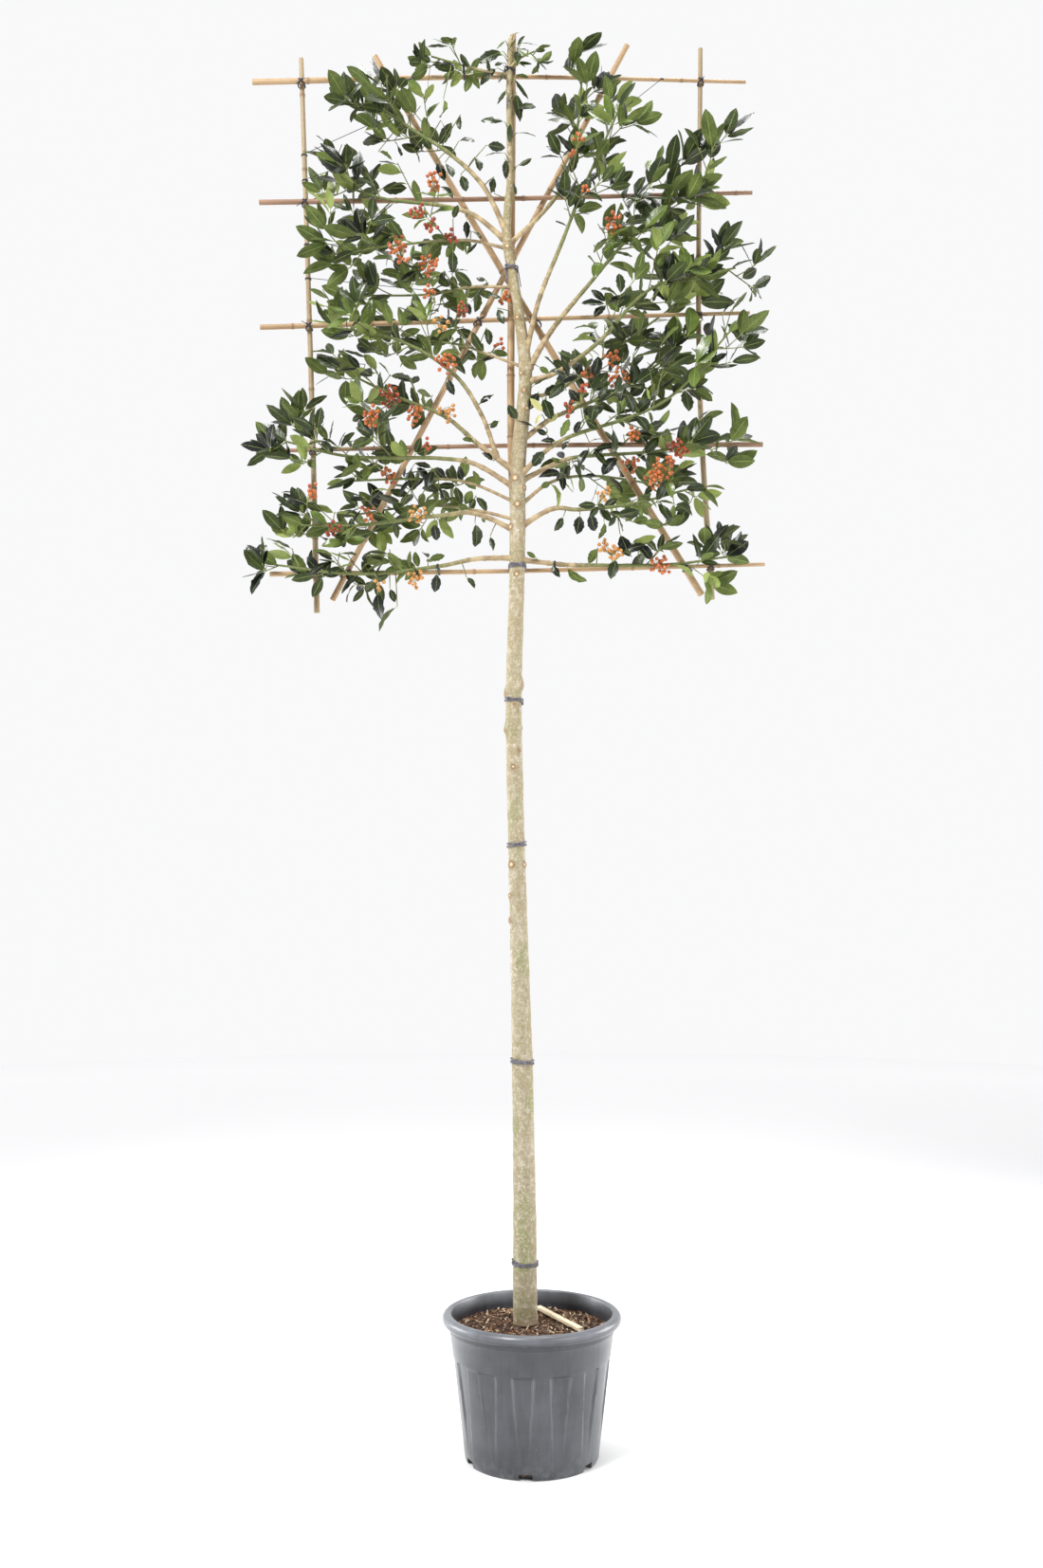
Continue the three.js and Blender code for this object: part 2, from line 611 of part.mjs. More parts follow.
function crosses(solid, others) {
  return others.some((other) => !solid.intersect(other).isEmpty());
}

// One spray while it grows: a stem with its twigs, leaves and berries.
class Spray {
  constructor(plan, index) {
    this.plan = plan;
    this.index = index;
    this.rows = stemRows(plan);
    this.first = plan.tip ? this.rows[0] : SPRAY.bareStem;
    const whole = toSolid(plan.limb.geometry(this.rows, SPRAY.stemSides));
    this.stem = plan.tip ? whole : whole.subtract(trunkCleared);
    this.twigs = [];
    this.leaves = [];
    this.middles = [];
    this.berries = [];
  }

  // Side twigs, each trimmed until it keeps to its space and clear of the others, or left out.
  growTwigs() {
    const { plan, index, rows, first } = this;
    const draw = chance(index + 1);
    for (let k = 0; k < plan.twigs; k += 1) {
      const along = SPRAY.firstTwig + ((1 - SPRAY.firstTwig) * (k + draw(0.3, 0.9))) / plan.twigs;
      const share = THREE.MathUtils.lerp(first, 1, along);
      const base = plan.limb.onRows(rows, share);
      const ahead = plan.limb.curve.getTangent(share);
      const out = sideways(ahead, k * GOLDEN_ANGLE + draw(-0.4, 0.4));
      const lift = TWIG_LEAN.up - plan.hang * TWIG_LEAN.hang;
      const aim = mix([ahead, TWIG_LEAN.ahead], [out, TWIG_LEAN.out], [UP, lift]).normalize();
      const full = plan.spread * (1 - SPRAY.shorter * along) * draw(0.75, 1.1);
      const fits = (twig) => keepsToSpace(index, twig.probes)
        && this.twigs.every((other) => nearest(other.probes, twig.probes) > SPRAY.twigRoom);
      const twig = SPRAY.trims.map((trim) => makeTwig(base, aim, full * trim)).find(fits);
      if (twig) this.twigs.push(twig);
    }
  }

  // Tries a leaf at `root`, turned round `onward` a little further each time, until one fits.
  tryLeaf(draw, root, onward, splay, turn, carrier) {
    const heart = this.plan.limb.at(0.7).y;
    for (let attempt = 0; attempt < SPRAY.tries; attempt += 1) {
      const out = sideways(onward, turn + attempt * GOLDEN_ANGLE + draw(-0.4, 0.4));
      const spread = splay + LEAF_LEAN.wider * attempt;
      const aim = mix([onward, LEAF_LEAN.ahead], [out, spread], [UP, LEAF_LEAN.up]).normalize();
      const outside = root.y + aim.y * SPRAY.leafLength * 0.4 > heart ? 1 : -1;
      const face = new THREE.Vector3(draw(-0.5, 0.5), outside * draw(0.4, 1.1), draw(0.2, 0.8));
      const leaf = leafAt(root, aim, face, draw(0.8, 1.1));
      const room = this.middles.every((other) => other.distanceTo(leaf.middle) > SPRAY.leafRoom);
      if (!room || !keepsToSpace(this.index, leaf.probes)) continue;
      const solid = toSolid(leaf.shape);
      const limbs = [this.stem, ...this.twigs.map((twig) => twig.solid)];
      if (crosses(solid, [...limbs.filter((limb) => limb !== carrier.solid), ...this.leaves])) continue;
      this.middles.push(leaf.middle);
      this.leaves.push(solid);
      carrier.leafy = true;
      return;
    }
  }

  growLeaves() {
    const { plan, index, rows, first } = this;
    const draw = chance(index + SPRAY.leafSeed);
    this.twigs.forEach((twig) => {
      for (let j = 0; j < SPRAY.rosette; j += 1) {
        const splay = LEAF_LEAN.innermost + 0.4 * j;
        this.tryLeaf(draw, twig.limb.at(0.94 - 0.04 * j), twig.aim, splay, j * GOLDEN_ANGLE, twig);
      }
      const pairs = Math.round(twig.length / SPRAY.leafPitch);
      for (let j = 1; j < pairs; j += 1) {
        this.tryLeaf(draw, twig.limb.at(1 - j / pairs), twig.aim, draw(0.7, 1), j * GOLDEN_ANGLE, twig);
      }
    });
    const own = { solid: this.stem };
    const count = Math.round((plan.limb.curve.getLength() * (1 - first)) / SPRAY.stemLeafPitch);
    for (let k = count; k >= 0; k -= 1) {
      const share = THREE.MathUtils.lerp(first, 0.985, k / count);
      const onward = plan.limb.curve.getTangent(share);
      const splay = k === count ? LEAF_LEAN.innermost : LEAF_LEAN.outward;
      this.tryLeaf(draw, plan.limb.onRows(rows, share), onward, splay, k * GOLDEN_ANGLE, own);
    }
    this.twigs = this.twigs.filter((twig) => twig.leafy);
  }

  // A berry beside each of the first twigs, as many as the plan has.
  growBerries() {
    this.twigs.slice(0, this.plan.fruit).forEach((twig, i) => {
      const centre = twig.limb.at(0.45).addScaledVector(sideways(twig.aim, i * 2.4 - 1.2), SPRAY.berryOffset);
      if (!keepsToSpace(this.index, [centre])) return;
      const berry = new THREE.OctahedronGeometry(SPRAY.berryRadius).rotateZ(i).rotateX(0.5);
      this.berries.push(toSolid(berry.translate(centre.x, centre.y, centre.z)));
    });
  }

  solid() {
    const pieces = [this.stem, ...this.twigs.map((twig) => twig.solid), ...this.leaves, ...this.berries];
    return pieces.reduce((joined, piece) => joined.add(piece)).simplify(SPRAY.finest);
  }
}

function growSpray(plan, index) {
  const spray = new Spray(plan, index);
  spray.growTwigs();
  spray.growLeaves();
  spray.growBerries();
  return spray.solid();
}

// ---------------------------------------------------------------- assembly

addPart('pot', potGeometry(), COLOURS.pot, 0.5);
addPart('potting_mix', soilGeometry(), COLOURS.soil, 0.95);
addPart('wooden_slat', slatGeometry(), COLOURS.slat);
addPart('trunk', trunk.geometry(trunkRows, TRUNK_SIDES), COLOURS.bark);
canes.forEach(([name, cane]) => {
  addPart(name, cane.geometry(caneRows(cane), CANE_SIDES), COLOURS.bamboo, 0.6);
});
TIES.heights.forEach((z, i) => addPart(`trunk_tie_${i + 1}`, tieGeometry(z), COLOURS.rubber, 0.6));
limbs.filter((plan) => plan.tip)
  .forEach((plan) => addPart(`bough_${plan.name}`, toGeometry(boughSolid(plan)), COLOURS.bough));
limbs.forEach((plan, index) => {
  addPart(`spray_${plan.name}`, toGeometry(growSpray(plan, index)), COLOURS.leaf, 0.45);
});

export default tree;
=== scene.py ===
"""A pleached holly tree in a nursery pot: its finishes and its finer shapes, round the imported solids.

Metres. +X to the right, +Y to the back, +Z up, from the middle of the pot's flat underside.
"""

import itertools
import json
import logging
import math
from dataclasses import dataclass, field
from enum import Enum
from typing import Any, Callable, Iterable, Sequence

import bmesh
import bpy
import numpy as np
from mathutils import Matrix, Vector, noise
from mathutils.bvhtree import BVHTree

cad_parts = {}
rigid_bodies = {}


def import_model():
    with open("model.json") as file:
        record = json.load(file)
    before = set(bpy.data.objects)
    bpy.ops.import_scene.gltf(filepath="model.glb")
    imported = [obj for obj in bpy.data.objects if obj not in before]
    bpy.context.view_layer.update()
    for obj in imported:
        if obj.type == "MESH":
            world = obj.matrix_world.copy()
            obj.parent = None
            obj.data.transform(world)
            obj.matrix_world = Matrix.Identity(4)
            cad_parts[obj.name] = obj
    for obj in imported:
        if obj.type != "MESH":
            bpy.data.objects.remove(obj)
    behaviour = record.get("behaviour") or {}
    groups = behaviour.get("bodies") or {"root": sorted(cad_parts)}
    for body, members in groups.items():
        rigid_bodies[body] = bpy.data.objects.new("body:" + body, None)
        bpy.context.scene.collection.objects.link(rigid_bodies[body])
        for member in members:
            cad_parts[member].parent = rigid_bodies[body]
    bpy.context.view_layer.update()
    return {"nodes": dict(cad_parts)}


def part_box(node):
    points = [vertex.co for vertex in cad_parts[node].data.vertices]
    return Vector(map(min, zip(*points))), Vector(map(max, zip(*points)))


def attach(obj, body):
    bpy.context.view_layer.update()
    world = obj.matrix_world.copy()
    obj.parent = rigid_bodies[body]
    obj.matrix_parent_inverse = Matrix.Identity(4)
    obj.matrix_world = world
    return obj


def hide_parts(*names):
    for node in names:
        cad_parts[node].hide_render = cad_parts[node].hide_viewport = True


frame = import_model()

LOG = logging.getLogger("holly")
BODY = "root"
GOLDEN_ANGLE = math.pi * (3 - math.sqrt(5))
UP = np.array([0.0, 0.0, 1.0])

Array = np.ndarray
Colour = tuple[float, float, float]
Point = tuple[float, float, float]
Piece = bpy.types.Object
Material = bpy.types.Material
Line = tuple[Array, Array]  # points, and a radius at each of them


# ---------------- numbers and lines


def tint(red: int, green: int, blue: int) -> Colour:
    """Turns a colour of 0 to 255 a channel, as a screen shows it, into the one that a shader takes."""
    return tuple(((c / 255 + 0.055) / 1.055) ** 2.4 if c > 10 else c / 3294.6 for c in (red, green, blue))


def unit(vector: Array) -> Array:
    """Scales a vector to a length of one."""
    return vector / max(float(np.linalg.norm(vector)), 1e-12)


def sideways(ahead: Array, angle: float) -> Array:
    """Gives a direction square to `ahead`, turned round it by `angle`."""
    level = unit(np.cross(ahead, UP if abs(ahead[2]) < 0.95 else np.array([0.0, 1.0, 0.0])))
    return level * math.cos(angle) + np.cross(level, ahead) * math.sin(angle)


class Chance:
    """A repeatable row of random numbers, the same as the solids are grown with."""

    def __init__(self, seed: int) -> None:
        """Starts the row from a whole number, each of which gives its own row."""
        self._state = (seed * 2654435 + 97) % 2**32

    def __call__(self, low: float, high: float) -> float:
        """Draws the next number between two others."""
        self._state = (self._state * 1664525 + 1013904223) % 2**32
        return low + (high - low) * self._state / 2**32

    def direction(self) -> Array:
        """Draws a direction from all round.

        Returns:
            A vector with a length of one.
        """
        height = self(-1, 1)
        turn = self(0, 2 * math.pi)
        flat = math.sqrt(1 - height * height)
        return np.array([flat * math.cos(turn), flat * math.sin(turn), height])


class Limb:
    """A round limb along a smooth line, with a radius at each of its points."""

    def __init__(self, points: Sequence[Sequence[float]], radii: Sequence[float]) -> None:
        """Keeps the points that the line passes through, and the limb's radius at each of them."""
        self.points = np.array(points, float)
        self.radii = np.array(radii, float)

    def at(self, share: float | Array) -> Array:
        """Finds points on the centripetal line.

        Args:
            share: One or more shares of the line, from 0 to 1.

        Returns:
            A point, or a row of points.
        """
        t = np.atleast_1d(np.asarray(share, float))
        p = self.points
        p = np.vstack([2 * p[0] - p[1], p, 2 * p[-1] - p[-2]])
        place = np.clip(t, 0, 1) * (len(self.points) - 1)
        k = np.minimum(place.astype(int), len(self.points) - 2)
        w = (place - k)[:, None]
        a, b, c, d = p[k], p[k + 1], p[k + 2], p[k + 3]
        d0, d1, d2 = (np.sqrt(np.linalg.norm(v - u, axis=1))[:, None] for u, v in ((a, b), (b, c), (c, d)))
        m1 = ((b - a) / d0 - (c - a) / (d0 + d1) + (c - b) / d1) * d1
        m2 = ((c - b) / d1 - (d - b) / (d1 + d2) + (d - c) / d2) * d1
        found = b + m1 * w + (3 * (c - b) - 2 * m1 - m2) * w**2 + (2 * (b - c) + m1 + m2) * w**3
        return found if np.ndim(share) else found[0]

    def ahead(self, share: float) -> Array:
        """Gives the direction of the line at a share of it."""
        step = 1e-4
        return unit(self.at(min(share + step, 1)) - self.at(max(share - step, 0)))

    def radius(self, share: float | Array) -> float | Array:
        """Gives the radius at a share of the line."""
        return np.interp(share, np.linspace(0, 1, len(self.radii)), self.radii)

    def share_at(self, height: float) -> float:
        """Gives the share at which a line that climbs all the way reaches a height."""
        shares = np.linspace(0, 1, 2001)
        return float(np.interp(height, self.at(shares)[:, 2], shares))

    def shares(self, spacing: float) -> Array:
        """Gives even shares of the line, about `spacing` apart."""
        return np.linspace(0, 1, max(3, int(self.length() / spacing) + 1))

    def length(self) -> float:
        """Measures the whole line."""
        line = self.at(np.linspace(0, 1, 200))
        return float(np.linalg.norm(np.diff(line, axis=0), axis=1).sum())

    @classmethod
    def of_node(cls, node: str) -> "Limb":
        """Reads a limb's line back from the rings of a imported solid.

        Args:
            node: The name of a round solid that was drawn along a line.

        Returns:
            The limb through the middles of its rings.
        """
        mesh = frame["nodes"][node].data
        corners = np.unique(np.array([v.co for v in mesh.vertices]).round(5), axis=0)
        axis = np.linalg.svd(corners - corners.mean(0), full_matrices=False)[2][0]
        axis = axis * (1 if axis[np.abs(axis).argmax()] > 0 else -1)
        along = corners @ axis
        order = np.argsort(along)
        ring_gap = 0.006
        breaks = np.nonzero(np.diff(along[order]) > ring_gap)[0] + 1
        points, radii = [], []
        for ring in np.split(corners[order], breaks):
            away = np.linalg.norm(ring - ring.mean(0), axis=1)
            rim = ring[away > away.max() / 2]
            points.append(rim.mean(0))
            radii.append(float(np.linalg.norm(rim - rim.mean(0), axis=1).mean()))
        return cls(points, radii)


# ---------------- shader graphs


class Term:
    """One socket of a graph, which takes part in sums written as Python expressions."""

    def __init__(self, graph: "Graph", socket: bpy.types.NodeSocket) -> None:
        """Wraps a socket of a graph."""
        self.graph = graph
        self.socket = socket

    def _sum(self, operation: str, first: Any, second: Any = 0.0) -> "Term":
        """Adds a Math node and gives its result."""
        return self.graph.node("ShaderNodeMath", {"operation": operation}, {0: first, 1: second})

    def __add__(self, other: Any) -> "Term":
        """Adds a value."""
        return self._sum("ADD", self, other)

    def __sub__(self, other: Any) -> "Term":
        """Takes a value away."""
        return self._sum("SUBTRACT", self, other)

    def __rsub__(self, other: Any) -> "Term":
        """Takes this term away from a value."""
        return self._sum("SUBTRACT", other, self)

    def __mul__(self, other: Any) -> "Term":
        """Multiplies by a value."""
        return self._sum("MULTIPLY", self, other)

    def __pow__(self, other: Any) -> "Term":
        """Raises to a power."""
        return self._sum("POWER", self, other)

    __radd__ = __add__
    __rmul__ = __mul__

    def absolute(self) -> "Term":
        """Drops the sign."""
        return self._sum("ABSOLUTE", self)

    def wave(self) -> "Term":
        """Gives the sine."""
        return self._sum("SINE", self)

    def step(self, low: float, high: float) -> "Term":
        """Rises from 0 to 1 as this term goes from `low` to `high`."""
        values = {0: self, 1: low, 2: high, 3: 0.0, 4: 1.0}
        return self.graph.node("ShaderNodeMapRange", {"clamp": True}, values)


class Graph:
    """The node graph of a material or of the world."""

    def __init__(self, name: str, kind: str = "materials") -> None:
        """Makes a material or a world with a bare graph.

        Args:
            name: Its name.
            kind: `materials` or `worlds`.
        """
        kinds = {"materials": ("BsdfPrincipled", "OutputMaterial"), "worlds": ("Background", "OutputWorld")}
        self.owner = getattr(bpy.data, kind).new(name)
        self.owner.use_nodes = True
        self.tree = self.owner.node_tree
        self.tree.nodes.clear()
        self.shader, output = (self.tree.nodes.new(f"ShaderNode{node}") for node in kinds[kind])
        self.tree.links.new(self.shader.outputs[0], output.inputs[0])

    def _feed(self, socket: bpy.types.NodeSocket, value: Any) -> None:
        """Feeds a socket.

        Args:
            socket: The socket.
            value: A term to link to it, or the value that it gets.
        """
        if isinstance(value, Term):
            self.tree.links.new(value.socket, socket)
        else:
            socket.default_value = (*value, 1.0) if socket.type == "RGBA" else value

    def node(
        self, kind: str, settings: dict[str, Any], values: dict[int | str, Any], result: int = 0
    ) -> Term:
        """Adds a node.

        Args:
            kind: The node's type.
            settings: Its settings, set before its sockets.
            values: A value or a term for each socket that is used, by number or name.
            result: Which of its outputs is wanted.

        Returns:
            The term of that output.
        """
        made = self.tree.nodes.new(kind)
        for key, value in settings.items():
            setattr(made, key, value)
        for key, value in values.items():
            self._feed(made.inputs[key], value)
        return Term(self, made.outputs[result])

    def place(self) -> Term:
        """Gives the place on the object."""
        return self.node("ShaderNodeTexCoord", {}, {}, 3)

    def attribute(self, name: str, result: int = 2) -> Term:
        """Gives an attribute of the mesh: its number (2), or its vector (1)."""
        return self.node("ShaderNodeAttribute", {"attribute_name": name}, {}, result)

    def axis(self, vector: Term, axis: int) -> Term:
        """Gives one coordinate of a vector."""
        return self.node("ShaderNodeSeparateXYZ", {}, {0: vector}, axis)

    def noise(self, vector: Term, scale: float, detail: float = 3.0, rough: float = 0.5) -> Term:
        """Gives cloudy noise of about 0.3 to 0.7, with patches of about 1/scale metres."""
        values = {"Vector": vector, "Scale": scale, "Detail": detail, "Roughness": rough}
        return self.node("ShaderNodeTexNoise", {}, values)

    def streaks(self, vector: Term, scale: Point, detail: float = 3.0, rough: float = 0.5) -> Term:
        """Gives noise with patches of about 1/scale metres along each axis."""
        stretched = self.node("ShaderNodeMapping", {}, {"Vector": vector, "Scale": scale})
        return self.noise(stretched, 1.0, detail, rough)

    def specks(self, vector: Term, scale: Point, core: float, rim: float) -> Term:
        """Gives round specks about 1/scale metres apart.

        Args:
            vector: The places.
            scale: How close they lie along each axis.
            core: How far the solid middle reaches, as a share of their distance.
            rim: How far their edge reaches.

        Returns:
            1 in the middle of a speck and 0 between them.
        """
        stretched = self.node("ShaderNodeMapping", {}, {"Vector": vector, "Scale": scale})
        away = self.node("ShaderNodeTexVoronoi", {}, {"Vector": stretched, "Scale": 1.0})
        return 1 - away.step(core, rim)

    def blend(self, factor: Any, first: Any, second: Any) -> Term:
        """Mixes two colours."""
        return self.node("ShaderNodeMix", {"data_type": "RGBA"}, {0: factor, 6: first, 7: second}, 2)

    def coats(self, colour: Any, *coats: tuple[Any, Colour]) -> Term:
        """Lays colours over one another.

        Args:
            colour: The colour at the bottom.
            coats: How far each coat covers, and its colour.

        Returns:
            The colour that shows.
        """
        for factor, tone in coats:
            colour = self.blend(factor, colour, tone)
        return colour

    def relief(self, height: Term, depth: float, strength: float = 1.0) -> Term:
        """Gives a normal from a height of 0 to 1 that stands `depth` metres proud."""
        values = {"Strength": strength, "Distance": depth, "Height": height}
        return self.node("ShaderNodeBump", {}, values)

    def close(self, **sockets: Any) -> Any:
        """Feeds the shader and gives what the graph belongs to.

        Args:
            sockets: A value or a term for each socket, by its name in lower case.

        Returns:
            The material or the world.
        """
        for name, value in sockets.items():
            self._feed(self.shader.inputs[name.replace("_", " ").title().replace("Ior", "IOR")], value)
        return self.owner


# ---------------- finishes


@dataclass(frozen=True)
class PlasticFinish:
    """Satin moulded plastic of a nursery pot, scuffed and dusty, with paler rubbed edges that also carry a
    painted highlight.
    """

    colour: Colour = tint(40, 43, 50)
    worn: Colour = tint(74, 78, 85)
    # paler colour of rubbed edges, also a painted highlight on the panel edges and the top of the lip
    rubbed_edge_highlight: Colour = tint(142, 146, 152)
    dusty: Colour = tint(146, 146, 144)

    def material(self) -> Material:
        """Builds the material.

        Returns:
            The material.
        """
        graph = Graph("pot_plastic")
        place = graph.place()
        clouds = graph.noise(place, 9.0, 4.0)
        streaks = graph.streaks(place, (90.0, 90.0, 5.0))
        scuffs = graph.streaks(place, (90.0, 90.0, 225.0), 6.0, 0.7)
        splash = (1 - graph.axis(place, 2).step(0.0, 0.05)) * graph.noise(place, 60.0).step(0.45, 0.7)
        colour = graph.coats(
            self.colour,
            ((clouds * 0.85 + streaks * 0.25).step(0.42, 0.72) * 0.8, self.worn),
            # panel edges and lip top painted paler: partly rubbed wear, partly a painted highlight
            (graph.attribute("arris") * (clouds * 1.2 - 0.1), self.rubbed_edge_highlight),
            (scuffs.step(0.62, 0.74) * 0.35, self.dusty),
            (splash * 0.3, self.dusty),
        )
        return graph.close(
            base_color=colour,
            roughness=clouds * 0.2 + 0.26,
            coat_weight=0.65,
            coat_roughness=0.25,
            normal=graph.relief(graph.noise(place, 900.0, 2.0) + streaks * 0.6 + scuffs, 0.0006, 0.35),
        )


@dataclass(frozen=True)
class SoilFinish:
    """Damp peat with fibres."""

    dark: Colour = tint(34, 24, 19)
    light: Colour = tint(128, 100, 80)

    def material(self) -> Material:
        """Builds the material.

        Returns:
            The material.
        """
        graph = Graph("peat")
        place = graph.place()
        crumbs = graph.noise(place, 140.0, 5.0, 0.7)
        fibres = graph.streaks(place, (240.0, 60.0, 100.0))
        pale = crumbs * 0.5 + fibres * 0.2 + graph.noise(place, 28.0) * 0.3
        colour = graph.blend(pale.step(0.4, 0.62), self.dark, self.light)
        return graph.close(base_color=colour, roughness=0.95, normal=graph.relief(crumbs, 0.004))


@dataclass(frozen=True)
class ChipFinish:
    """One colour of shredded bark, with its fibres."""

    name: str
    colour: Colour
    shade: float = 0.45

    def material(self) -> Material:
        """Builds the material.

        Returns:
            The material.
        """
        graph = Graph(self.name)
        fibres = graph.streaks(graph.place(), (500.0, 120.0, 300.0), 4.0)
        dark = tuple(c * self.shade for c in self.colour)
        colour = graph.blend(fibres.step(0.3, 0.6), dark, self.colour)
        return graph.close(base_color=colour, roughness=0.9, normal=graph.relief(fibres, 0.001))


@dataclass(frozen=True)
class TrunkFinish:
    """Smooth pale holly bark, greener and darker with lichen towards the soil."""

    cream: Colour = tint(194, 184, 161)
    tan: Colour = tint(168, 155, 126)
    low: Colour = tint(146, 135, 106)
    tipward_tone: Colour = tint(152, 136, 96)
    # colour towards the top of the trunk
    lichen: Colour = tint(138, 141, 92)
    crust: Colour = tint(221, 216, 200)
    speck: Colour = tint(112, 92, 66)
    mauve: Colour = tint(208, 196, 182)
    heart: Colour = tint(224, 200, 162)
    callus: Colour = tint(140, 110, 76)
    stain: Colour = tint(132, 106, 80)

    def material(self) -> Material:
        """Builds the material.

        Returns:
            The material.
        """
        graph = Graph("trunk_bark")
        grain = graph.attribute("grain", 1)
        scar = graph.attribute("scar")
        height = graph.axis(graph.place(), 2)
        age = 1 - height.step(0.7, 2.3)
        clouds = graph.noise(grain, 9.0, 5.0, 0.6)
        rings = graph.streaks(grain, (14.0, 14.0, 130.0), 4.0, 0.6)
        patches = graph.streaks(grain, (17.0, 17.0, 10.2), 6.0, 0.62)
        crust = graph.noise(grain, 60.0, 4.0, 0.65).step(0.56, 0.66) * graph.noise(grain, 7.0).step(0.42, 0.6)
        flecks = graph.noise(grain, 210.0, 3.0, 0.7)
        blots = graph.streaks(grain, (75.0, 75.0, 52.5), 4.0, 0.7)
        bands = graph.streaks(grain, (5.0, 5.0, 75.0), 2.0)
        colour = graph.coats(
            self.cream,
            ((clouds * 0.7 + rings * 0.4).step(0.42, 0.66), self.tan),
            (age * 0.6, self.low),
            # darker and browner towards the top of the trunk
            (height.step(1.1, 3.0) * 0.9, self.tipward_tone),
            (patches.step(0.47, 0.62) * (0.25 + age * 0.6), self.lichen),
            (crust * 0.7, self.crust),
            (graph.specks(grain, (120.0, 120.0, 192.0), 0.1, 0.24) * 0.55, self.speck),
            (flecks.step(0.54, 0.66) * 0.5, self.speck),
            ((1 - flecks).step(0.55, 0.68) * 0.5, self.crust),
            (blots.step(0.52, 0.64) * 0.5, self.mauve),
            ((1 - blots).step(0.54, 0.66) * 0.4, self.low),
            (bands.step(0.6, 0.68) * 0.35, self.low),
            ((1 - height.step(0.312, 0.36)) * 0.7, self.stain),
            (scar.step(0.2, 0.5) * 0.85, self.callus),
            (scar.step(0.6, 0.8), self.heart),
        )
        relief = rings * 0.6 + graph.noise(grain, 320.0) * 0.25 + crust * 0.2 + flecks * 0.3
        return graph.close(
            base_color=colour, roughness=0.82 - crust * 0.1, normal=graph.relief(relief, 0.002, 0.9)
        )


@dataclass(frozen=True)
class BoughFinish:
    """Bark of the boughs, which turns from fawn near the trunk to green where it is young."""

    fawn: Colour = tint(188, 168, 130)
    brown: Colour = tint(140, 118, 88)
    olive: Colour = tint(119, 121, 74)
    green: Colour = tint(92, 112, 54)

    def material(self) -> Material:
        """Builds the material.

        Returns:
            The material.
        """
        graph = Graph("bough_bark")
        grain = graph.attribute("grain", 1)
        clouds = graph.noise(grain, 22.0, 5.0, 0.6)
        rings = graph.streaks(grain, (40.0, 40.0, 160.0))
        old = graph.blend(clouds.step(0.4, 0.62), self.fawn, self.brown)
        tipward_tone = graph.blend(rings.step(0.4, 0.62), self.olive, self.green)
        youth = (graph.attribute("youth") + (clouds - 0.5) * 0.6).step(0.25, 0.6)
        specks = graph.specks(grain, (230.0, 230.0, 230.0), 0.12, 0.28) * 0.35
        colour = graph.coats(old, (youth, tipward_tone), (specks, self.brown))
        relief = graph.relief(rings * 0.7 + clouds * 0.3, 0.001, 0.8)
        return graph.close(base_color=colour, roughness=0.7, normal=relief)


@dataclass(frozen=True)
class GreenFinish:
    """Smooth green rind of shoots and stalks."""

    name: str
    colour: Colour
    shade: Colour

    def material(self) -> Material:
        """Builds the material.

        Returns:
            The material.
        """
        graph = Graph(self.name)
        clouds = graph.noise(graph.place(), 45.0)
        colour = graph.blend(clouds.step(0.4, 0.62), self.colour, self.shade)
        return graph.close(base_color=colour, roughness=0.5, normal=graph.relief(clouds, 0.0004, 0.5))


class LeafFace(Enum):
    """The two faces of a leaf blade, with their roughness and the strength of their coat."""

    TOP = (0.36, 0.4)
    BACK = (0.58, 0.0)


class LeafTone(Enum):
    """Plain colours of leaves: a colour and its shade on top, and another two on the back."""

    DEEP = (tint(19, 27, 17), tint(11, 16, 11), tint(72, 84, 44), tint(46, 56, 29))
    GREEN = (tint(50, 62, 28), tint(31, 41, 20), tint(106, 120, 60), tint(76, 90, 42))
    FRESH = (tint(100, 118, 48), tint(72, 90, 34), tint(152, 166, 96), tint(124, 140, 66))
    YELLOW = (tint(206, 204, 144), tint(184, 182, 114)) * 2


@dataclass(frozen=True)
class LeafFinish:
    """One plain leaf colour on one face of the blade, with faint mottling and veins."""

    tone: LeafTone
    face: LeafFace

    def material(self) -> Material:
        """Builds the material.

        Returns:
            The material.
        """
        graph = Graph(f"leaf_{self.face.name.lower()}_{self.tone.name.lower()}")
        place = graph.place()
        roughness, coat = self.face.value
        tones = self.tone.value[:2] if self.face is LeafFace.TOP else self.tone.value[2:]
        mottle = graph.noise(place, 24.0)
        fine = graph.noise(place, 160.0, 2.0)
        blade = graph.attribute("blade", 1)
        across = graph.axis(blade, 1).absolute()
        veins = ((graph.axis(blade, 0) * 46.0 - across * 9.0).wave() * 0.5 + 0.5) ** 3.0
        veins = veins * across.step(0.02, 0.2) * (1 - across.step(0.75, 1.0))
        return graph.close(
            base_color=graph.blend((mottle * 0.8 + fine * 0.2).step(0.38, 0.62), *tones),
            roughness=mottle * 0.16 + roughness - 0.08,
            coat_weight=coat,
            coat_roughness=0.2,
            specular_ior_level=0.25,
            normal=graph.relief(veins * 0.5 + fine * 0.5, 0.0012, 0.6),
        )


@dataclass(frozen=True)
class BerryFinish:
    """One plain berry colour with a waxy shine."""

    name: str
    colour: Colour
    shade: Colour

    def material(self) -> Material:
        """Builds the material.

        Returns:
            The material.
        """
        graph = Graph(self.name)
        clouds = graph.noise(graph.place(), 90.0, 2.0)
        colour = graph.blend(clouds.step(0.4, 0.65), self.colour, self.shade)
        return graph.close(base_color=colour, roughness=clouds * 0.2 + 0.2, coat_weight=0.3)


